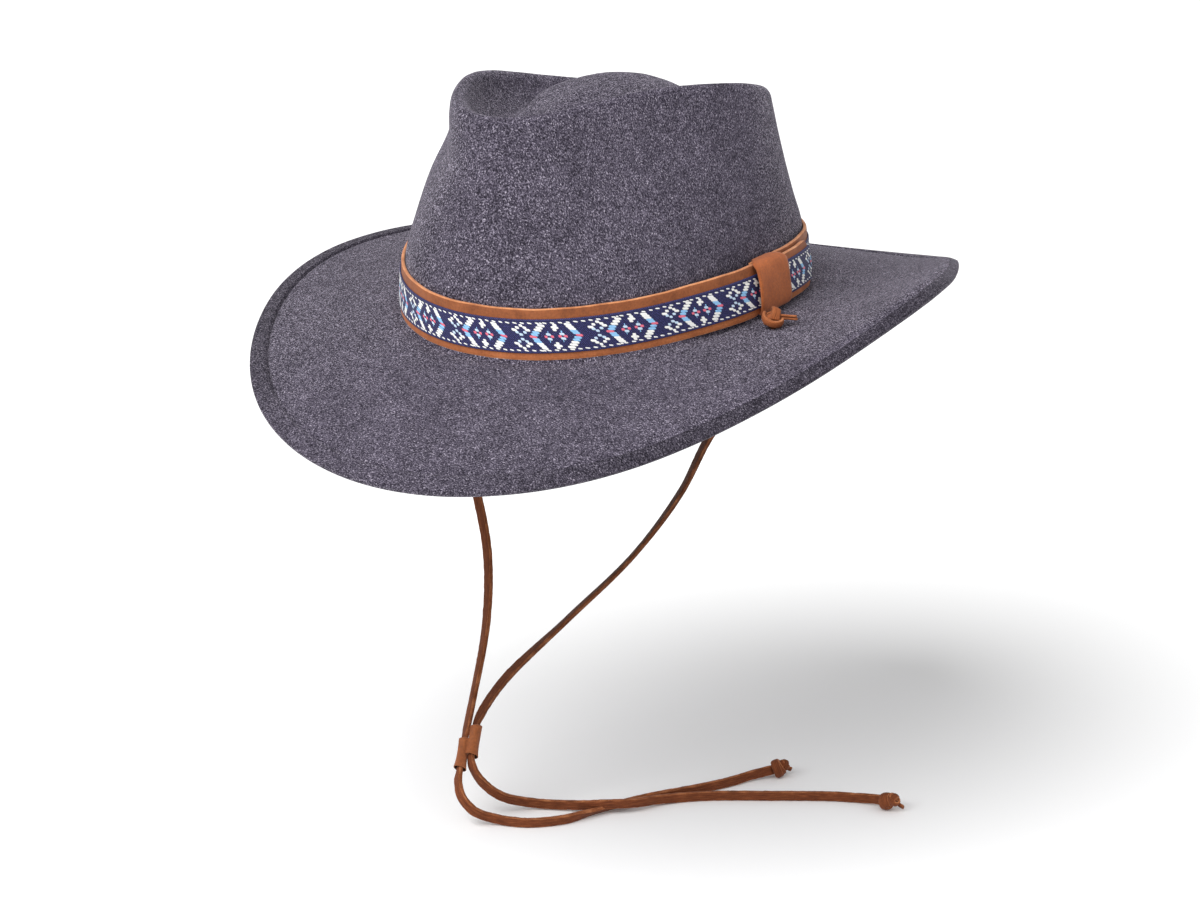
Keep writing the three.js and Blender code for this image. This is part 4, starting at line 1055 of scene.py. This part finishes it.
def ribbon_piece():
    base_off = BAND["strap"] + BAND["gap"]
    full = TAIL["corner"] + TAIL["tongue"]
    s0, s1 = float(arc_of(TAIL["start"])[0]), float(arc_of(full)[0])
    phase = float(arc_of(360.0)[0]) + PHASE
    to_deg = arc_of(0.0)[1]
    lo, hi = BAND["low"], BAND["high"]
    # navy ground: ribbed along its length, selvage cords at its edges
    ss = np.append(np.arange(s0, s1 - 0.4, 1.1), s1)
    hh = np.concatenate([[lo, lo + 0.12], np.arange(lo + 0.35, hi - 0.3, 0.29), [hi - 0.12, hi]])
    k, n = len(hh), len(ss)
    dg = to_deg(ss)
    rib = 0.05 * np.cos(2 * np.pi * (hh - MIDDLE) / ROW_STEP)
    edge = np.minimum(hh - lo, hi - hh)
    bulge = np.where(edge < 0.05, -0.30, np.where(edge < 0.2, -0.08, 0.0)) + 0.10 * (edge > 0.05) * (edge < 1.0)
    top = np.stack([band_point(tail_warp(dg, hh[j], 0.35), base_off + 0.30 + rib[j] + bulge[j], hh[j]) for j in range(k)], 1)
    bot = np.stack([band_point(tail_warp(dg, h, 0.35), base_off + 0.02, h) for h in (lo, hi)], 1)
    verts = [top.reshape(-1, 3), bot.reshape(-1, 3)]
    uv = [np.stack(np.broadcast_arrays(ss[:, None], hh[None, :]), -1).reshape(-1, 2),
          np.stack(np.broadcast_arrays(ss[:, None], np.array([lo, hi])[None, :]), -1).reshape(-1, 2)]
    faces = grid_faces(n, k, False, False)
    off = n * k
    mats = [0] * len(faces)
    extra = []
    for i in range(n - 1):
        a, b = off + 2 * i, off + 2 * i + 1
        extra.append((a, b, b + 2, a + 2))
        extra.append((i * k, a, a + 2, (i + 1) * k))
        extra.append((i * k + k - 1, (i + 1) * k + k - 1, b + 2, b))
    for i in (0, n - 1):
        row = [i * k + j for j in range(k)] + [off + 2 * i + 1, off + 2 * i]
        extra.append(row if i == 0 else row[::-1])
    faces += extra
    mats += [0] * len(extra)
    count = off + 2 * n
    # stitches
    colour = {"white": 1, "blue": 2, "pink": 3, "sky": 4}
    first = int(math.floor((s0 - phase) / REPEAT)) - 1
    last = int(math.ceil((s1 - phase) / REPEAT)) + 1
    hidden_to = float(arc_of(112)[0])                 # the inner end lies hidden under the tail
    vs, fs, ms, us = [], [], [], []
    na, nb = 7, 5
    rng = np.random.RandomState(9)
    U, V = np.meshgrid(np.linspace(0, 1, na), np.linspace(0, 1, nb), indexing="ij")
    for rep in range(first, last):
        for row, a, b, thread in STITCHES:
            for side in ((1,) if row == 0 else (1, -1)):
                r = row * side
                h = MIDDLE + r * ROW_STEP + rng.uniform(-0.04, 0.04)
                shift = -0.27 * np.sign(r) - 0.11 * r
                j0, j1 = rng.uniform(-0.12, 0.12, 2)
                sa, sb = phase + rep * REPEAT + a + shift + j0, phase + rep * REPEAT + b + shift + j1
                limit = float(arc_of(float(tail_end(h)) - 0.6)[0])
                if sb < s0 + 0.3 or sa > limit - 0.5 or sa < s0 or sb < hidden_to:
                    continue
                sb = min(sb, limit)
                half = ROW_STEP * (0.545 if row != 6 else 0.30)
                # pill: narrow rounded ends, high in the middle
                L = sb - sa
                e = np.minimum(U, 1 - U) * L
                round_w = np.sqrt(np.clip(1 - np.clip(1 - e / 0.26, 0, 1) ** 2, 0, 1))
                wv = (V - 0.5) * 2
                H2 = h + wv * half * (0.42 + 0.58 * round_w) - 0.17 * (U - 0.5) * L
                S2 = sa + U * L + wv * 0.10 * -1
                lift = 0.365 + 0.075 * (1 - wv**4) * (0.35 + 0.65 * round_w)
                P = band_point(to_deg(S2), base_off + lift, H2)
                base = count + len(vs) * na * nb
                vs.append(P.reshape(-1, 3))
                us.append(np.stack([S2, H2], -1).reshape(-1, 2))
                fs += grid_faces(na, nb, False, False, base)
                ms += [colour[thread]] * ((na - 1) * (nb - 1))
    verts += vs
    uv += us
    faces += fs
    mats += ms
    return add_mesh("ribbon", np.concatenate(verts, 0), faces, [MAT_NAVY, MAT_WHITE, MAT_BLUE, MAT_PINK, MAT_SKY], mats,
                    node="band_ribbon", uv=np.concatenate(uv, 0))


ribbon = ribbon_piece()


# keeper: inside of the loop round both layers of the band, offset from the crown and height
KEEPER_LOOP = [(-0.5, 23.2), (0.8, 23.5), (2.6, 23.5), (3.8, 23.15), (4.5, 22.3), (4.8, 20.8), (4.95, 18.0), (5.05, 12.0),
               (4.95, 6.0), (4.8, 3.6), (4.45, 1.9), (3.8, 1.0), (3.0, 0.72), (-0.3, 0.72), (-1.0, 1.5), (-1.0, 12.0), (-1.0, 22.4)]


def closed_curve(points, spacing):
    P = np.asarray(points, float)
    out = []
    n = len(P)
    for i in range(n):
        p0, p1, p2, p3 = P[i - 1], P[i], P[(i + 1) % n], P[(i + 2) % n]
        t0, t1, t2 = (np.linalg.norm(b - a) ** 0.5 + 1e-6 for a, b in ((p0, p1), (p1, p2), (p2, p3)))
        m1 = ((p1 - p0) / t0 - (p2 - p0) / (t0 + t1) + (p2 - p1) / t1) * t1
        m2 = ((p2 - p1) / t1 - (p3 - p1) / (t1 + t2) + (p3 - p2) / t2) * t1
        k = max(2, int(round(np.linalg.norm(p2 - p1) / spacing)))
        for s in np.arange(k) / k:
            out.append((2 * s**3 - 3 * s**2 + 1) * p1 + (s**3 - 2 * s**2 + s) * m1 + (-2 * s**3 + 3 * s**2) * p2 + (s**3 - s**2) * m2)
    return np.array(out)


def keeper_piece():
    H = BAND["height"]
    pts = closed_curve(KEEPER_LOOP, 0.75)
    # outward normals in the plane
    tg = np.roll(pts, -1, 0) - np.roll(pts, 1, 0)
    nn = norm(np.stack([tg[:, 1], -tg[:, 0]], -1))
    if ((pts - pts.mean(0)) * nn).sum() < 0:
        nn = -nn
    wall = KEEPER["wall"]
    # profile across the keeper's width: fraction along width, fraction through the wall
    cols = [(f, 0.0) for f in np.linspace(0, 1, 15)]
    cols_out = [(f, 1.0) for f in np.linspace(1, 0, 15)]
    prof = [(0.008, 0.05)] + cols[1:-1] + [(0.992, 0.05), (1.0, 0.3), (1.0, 0.7), (0.992, 0.95)] + cols_out[1:-1] + [(0.008, 0.95), (0.0, 0.7), (0.0, 0.3)]
    verts, uv = [], []
    for (o, h), (no, nh) in zip(pts, nn):
        mid = math.sin(math.pi * min(max(h / H, 0.0), 1.0))
        front = smooth01((no - 0.1) / 0.5)
        for f, t in prof:
            thick = (wall - 0.45 * abs(nh)) * t
            hh = h + nh * thick
            flare = float(front) * (2.1 * (1 - f) ** 2.2 + 0.30 * f ** 3) * mid ** 0.7
            depth = (o + 1.0) / 6.05                                  # 0 at the crown, 1 in front
            oo = o + no * thick + flare + 0.06 * math.sin(f * 5.0 + h * 0.5) * float(front)
            back = (1 - depth) ** 1.2
            lo_deg = KEEPER["start"] + 4.4 * back - 0.3 * mid * float(front) - 0.8 * float(smooth01((hh - 21.0) / 3.0)) * depth
            hi_deg = KEEPER["end"] - 4.5 * back - 1.2 * float(smooth01((hh - 21.5) / 3.0)) * depth
            deg = lo_deg + (hi_deg - lo_deg) * f
            th = math.radians(deg)
            r, ux, uy, nx, ny = oval_frame(np.array(th))
            rr = float(wall_r(np.array(th), hh)) + oo
            verts.append((ux * rr, uy * rr, float(seat_z(th)) + hh))
    n, k = len(pts), len(prof)
    return add_mesh("keeper_loop", verts, grid_faces(n, k, True, True), [MAT_KEEPER], node="keeper")


keeper = keeper_piece()


# anchor knot, right / toward / up of the knot's middle (mm), and the direction across the lace at each point
ANCHOR_OVER = [
    ((1.2, -3.2, -0.6), (0.9, 0.0, -0.4)), ((1.2, -3.6, 2.4), (0.87, 0.0, -0.48)), ((1.5, -2.4, 4.6), (0.86, -0.1, -0.5)),
    ((1.7, -0.4, 4.9), (0.86, -0.2, -0.5)), ((1.2, 1.6, 3.4), (0.86, -0.2, -0.5)), ((0.6, 2.6, 1.2), (0.9, 0.0, -0.4)),
]
ANCHOR_TAIL = [(1.0, -0.6, 0.6), (4.2, -0.4, 0.3), (7.4, 0.0, -0.2), (10.8, 0.6, -0.6)]


def anchor(name, hole, node, side, seed):
    z0 = brim_height(*hole)
    right = np.array([0.829 * side, 0.559, 0.0])
    toward = np.array([0.559 * side, -0.829, 0.0])
    up = np.array([0.0, 0.0, 1.0])
    axes = (right, toward, up)
    centre = np.array([hole[0], hole[1], z0 + 3.1]) + 0.4 * right
    shapes = []
    # one turn lying flat round the lace
    pts, wid = [], []
    for k in range(26):
        a = math.radians(-210 + 415 * k / 25)
        r = 4.25 - 0.65 * k / 25
        x, t = r * math.cos(a), -r * math.sin(a)
        pts.append((x, t, 1.4 - 1.5 * k / 25 - 0.34 * t - 0.16 * x))
        wid.append((0.16, 0.34, 1.0))
    shapes.append(band_sweep(pts, wid, centre, axes, 3.5, 1.9, seed))
    # the lace folding over the turn
    shapes.append(band_sweep([p for p, _ in ANCHOR_OVER], [w for _, w in ANCHOR_OVER], centre, axes, 4.4, 1.7, seed + 1))
    # core of the knot
    shapes.append(band_sweep([(-1.8, 0, 0.4), (0, 0, 1.2), (1.8, 0, 0.8)], [(0, 1, 0)] * 3, centre, axes, 5.4, 4.6, seed + 2))
    # cut end lying on the brim: two thin layers, one on the other
    for layer, (wide, lift) in enumerate(((2.7, 0.9), (2.6, 2.2))):
        pts = []
        for r, t, u in ANCHOR_TAIL:
            q = centre + right * r + toward * t
            ground = brim_height(q[0], q[1]) if r > 4 else z0 + 0.4
            pts.append((r - 0.3 * layer, t, ground + lift + 2.6 - centre[2] + u))
        shapes.append(band_sweep(pts, [(0.1, 1.0, 0.25)] * 4, centre, axes, wide, 1.2, seed + 3 + layer))
    return strips_mesh(name, shapes, [MAT_TIE, MAT_LACE_EDGE], node)


knot_left = anchor("knot_anchor_left", HOLE_L, "anchor_knot_left", 1, 50)
knot_right = anchor("knot_anchor_right", HOLE_R, "anchor_knot_right", -1, 60)


# ------------------------------------------------------------------ floor and light
def plain_material(name, colour, rough):
    mat, nt, bsdf, co = new_material(name)
    bsdf.inputs["Base Color"].default_value = colour
    bsdf.inputs["Roughness"].default_value = rough
    bsdf.inputs["Specular IOR Level"].default_value = 0.1
    return mat


def stage():
    s, z = 40.0, FLOOR / 1000.0
    me = bpy.data.meshes.new("floor")
    me.from_pydata([(-s, -s, z), (s, -s, z), (s, s, z), (-s, s, z)], [], [(0, 1, 2, 3)])
    me.materials.append(plain_material("floor_pale", (0.95, 0.95, 0.95, 1), 0.9))
    ob = bpy.data.objects.new("floor", me)
    bpy.context.scene.collection.objects.link(ob)


stage()


def sun_light(name, azimuth, elevation, spread, power):
    """soft far light; azimuth from the hat's front towards the wearer's left"""
    d = bpy.data.lights.new(name, "SUN")
    d.energy = power
    d.angle = math.radians(spread)
    ob = bpy.data.objects.new(name, d)
    bpy.context.scene.collection.objects.link(ob)
    a, e = math.radians(azimuth), math.radians(elevation)
    z = np.array([math.sin(a) * math.cos(e), -math.cos(a) * math.cos(e), math.sin(e)])
    x = norm(np.cross((0, 0, 1.0), z))
    y = np.cross(z, x)
    mw = Matrix.Identity(4)
    for i in range(3):
        mw[i][0], mw[i][1], mw[i][2], mw[i][3] = x[i], y[i], z[i], 2.0 * z[i]
    ob.matrix_world = mw
    return ob


sun_light("key", -15, 53, 55, 3.1)
sun_light("fill", 95, 35, 80, 0.7)

world = bpy.data.worlds.new("studio")
bpy.context.scene.world = world
world.use_nodes = True
bg = world.node_tree.nodes.get("Background") or world.node_tree.nodes.new("ShaderNodeBackground")
bg.inputs["Color"].default_value = (1, 1, 1, 1)
bg.inputs["Strength"].default_value = 0.45
bpy.context.scene.view_settings.view_transform = "Standard"
bpy.context.scene.view_settings.look = "None"
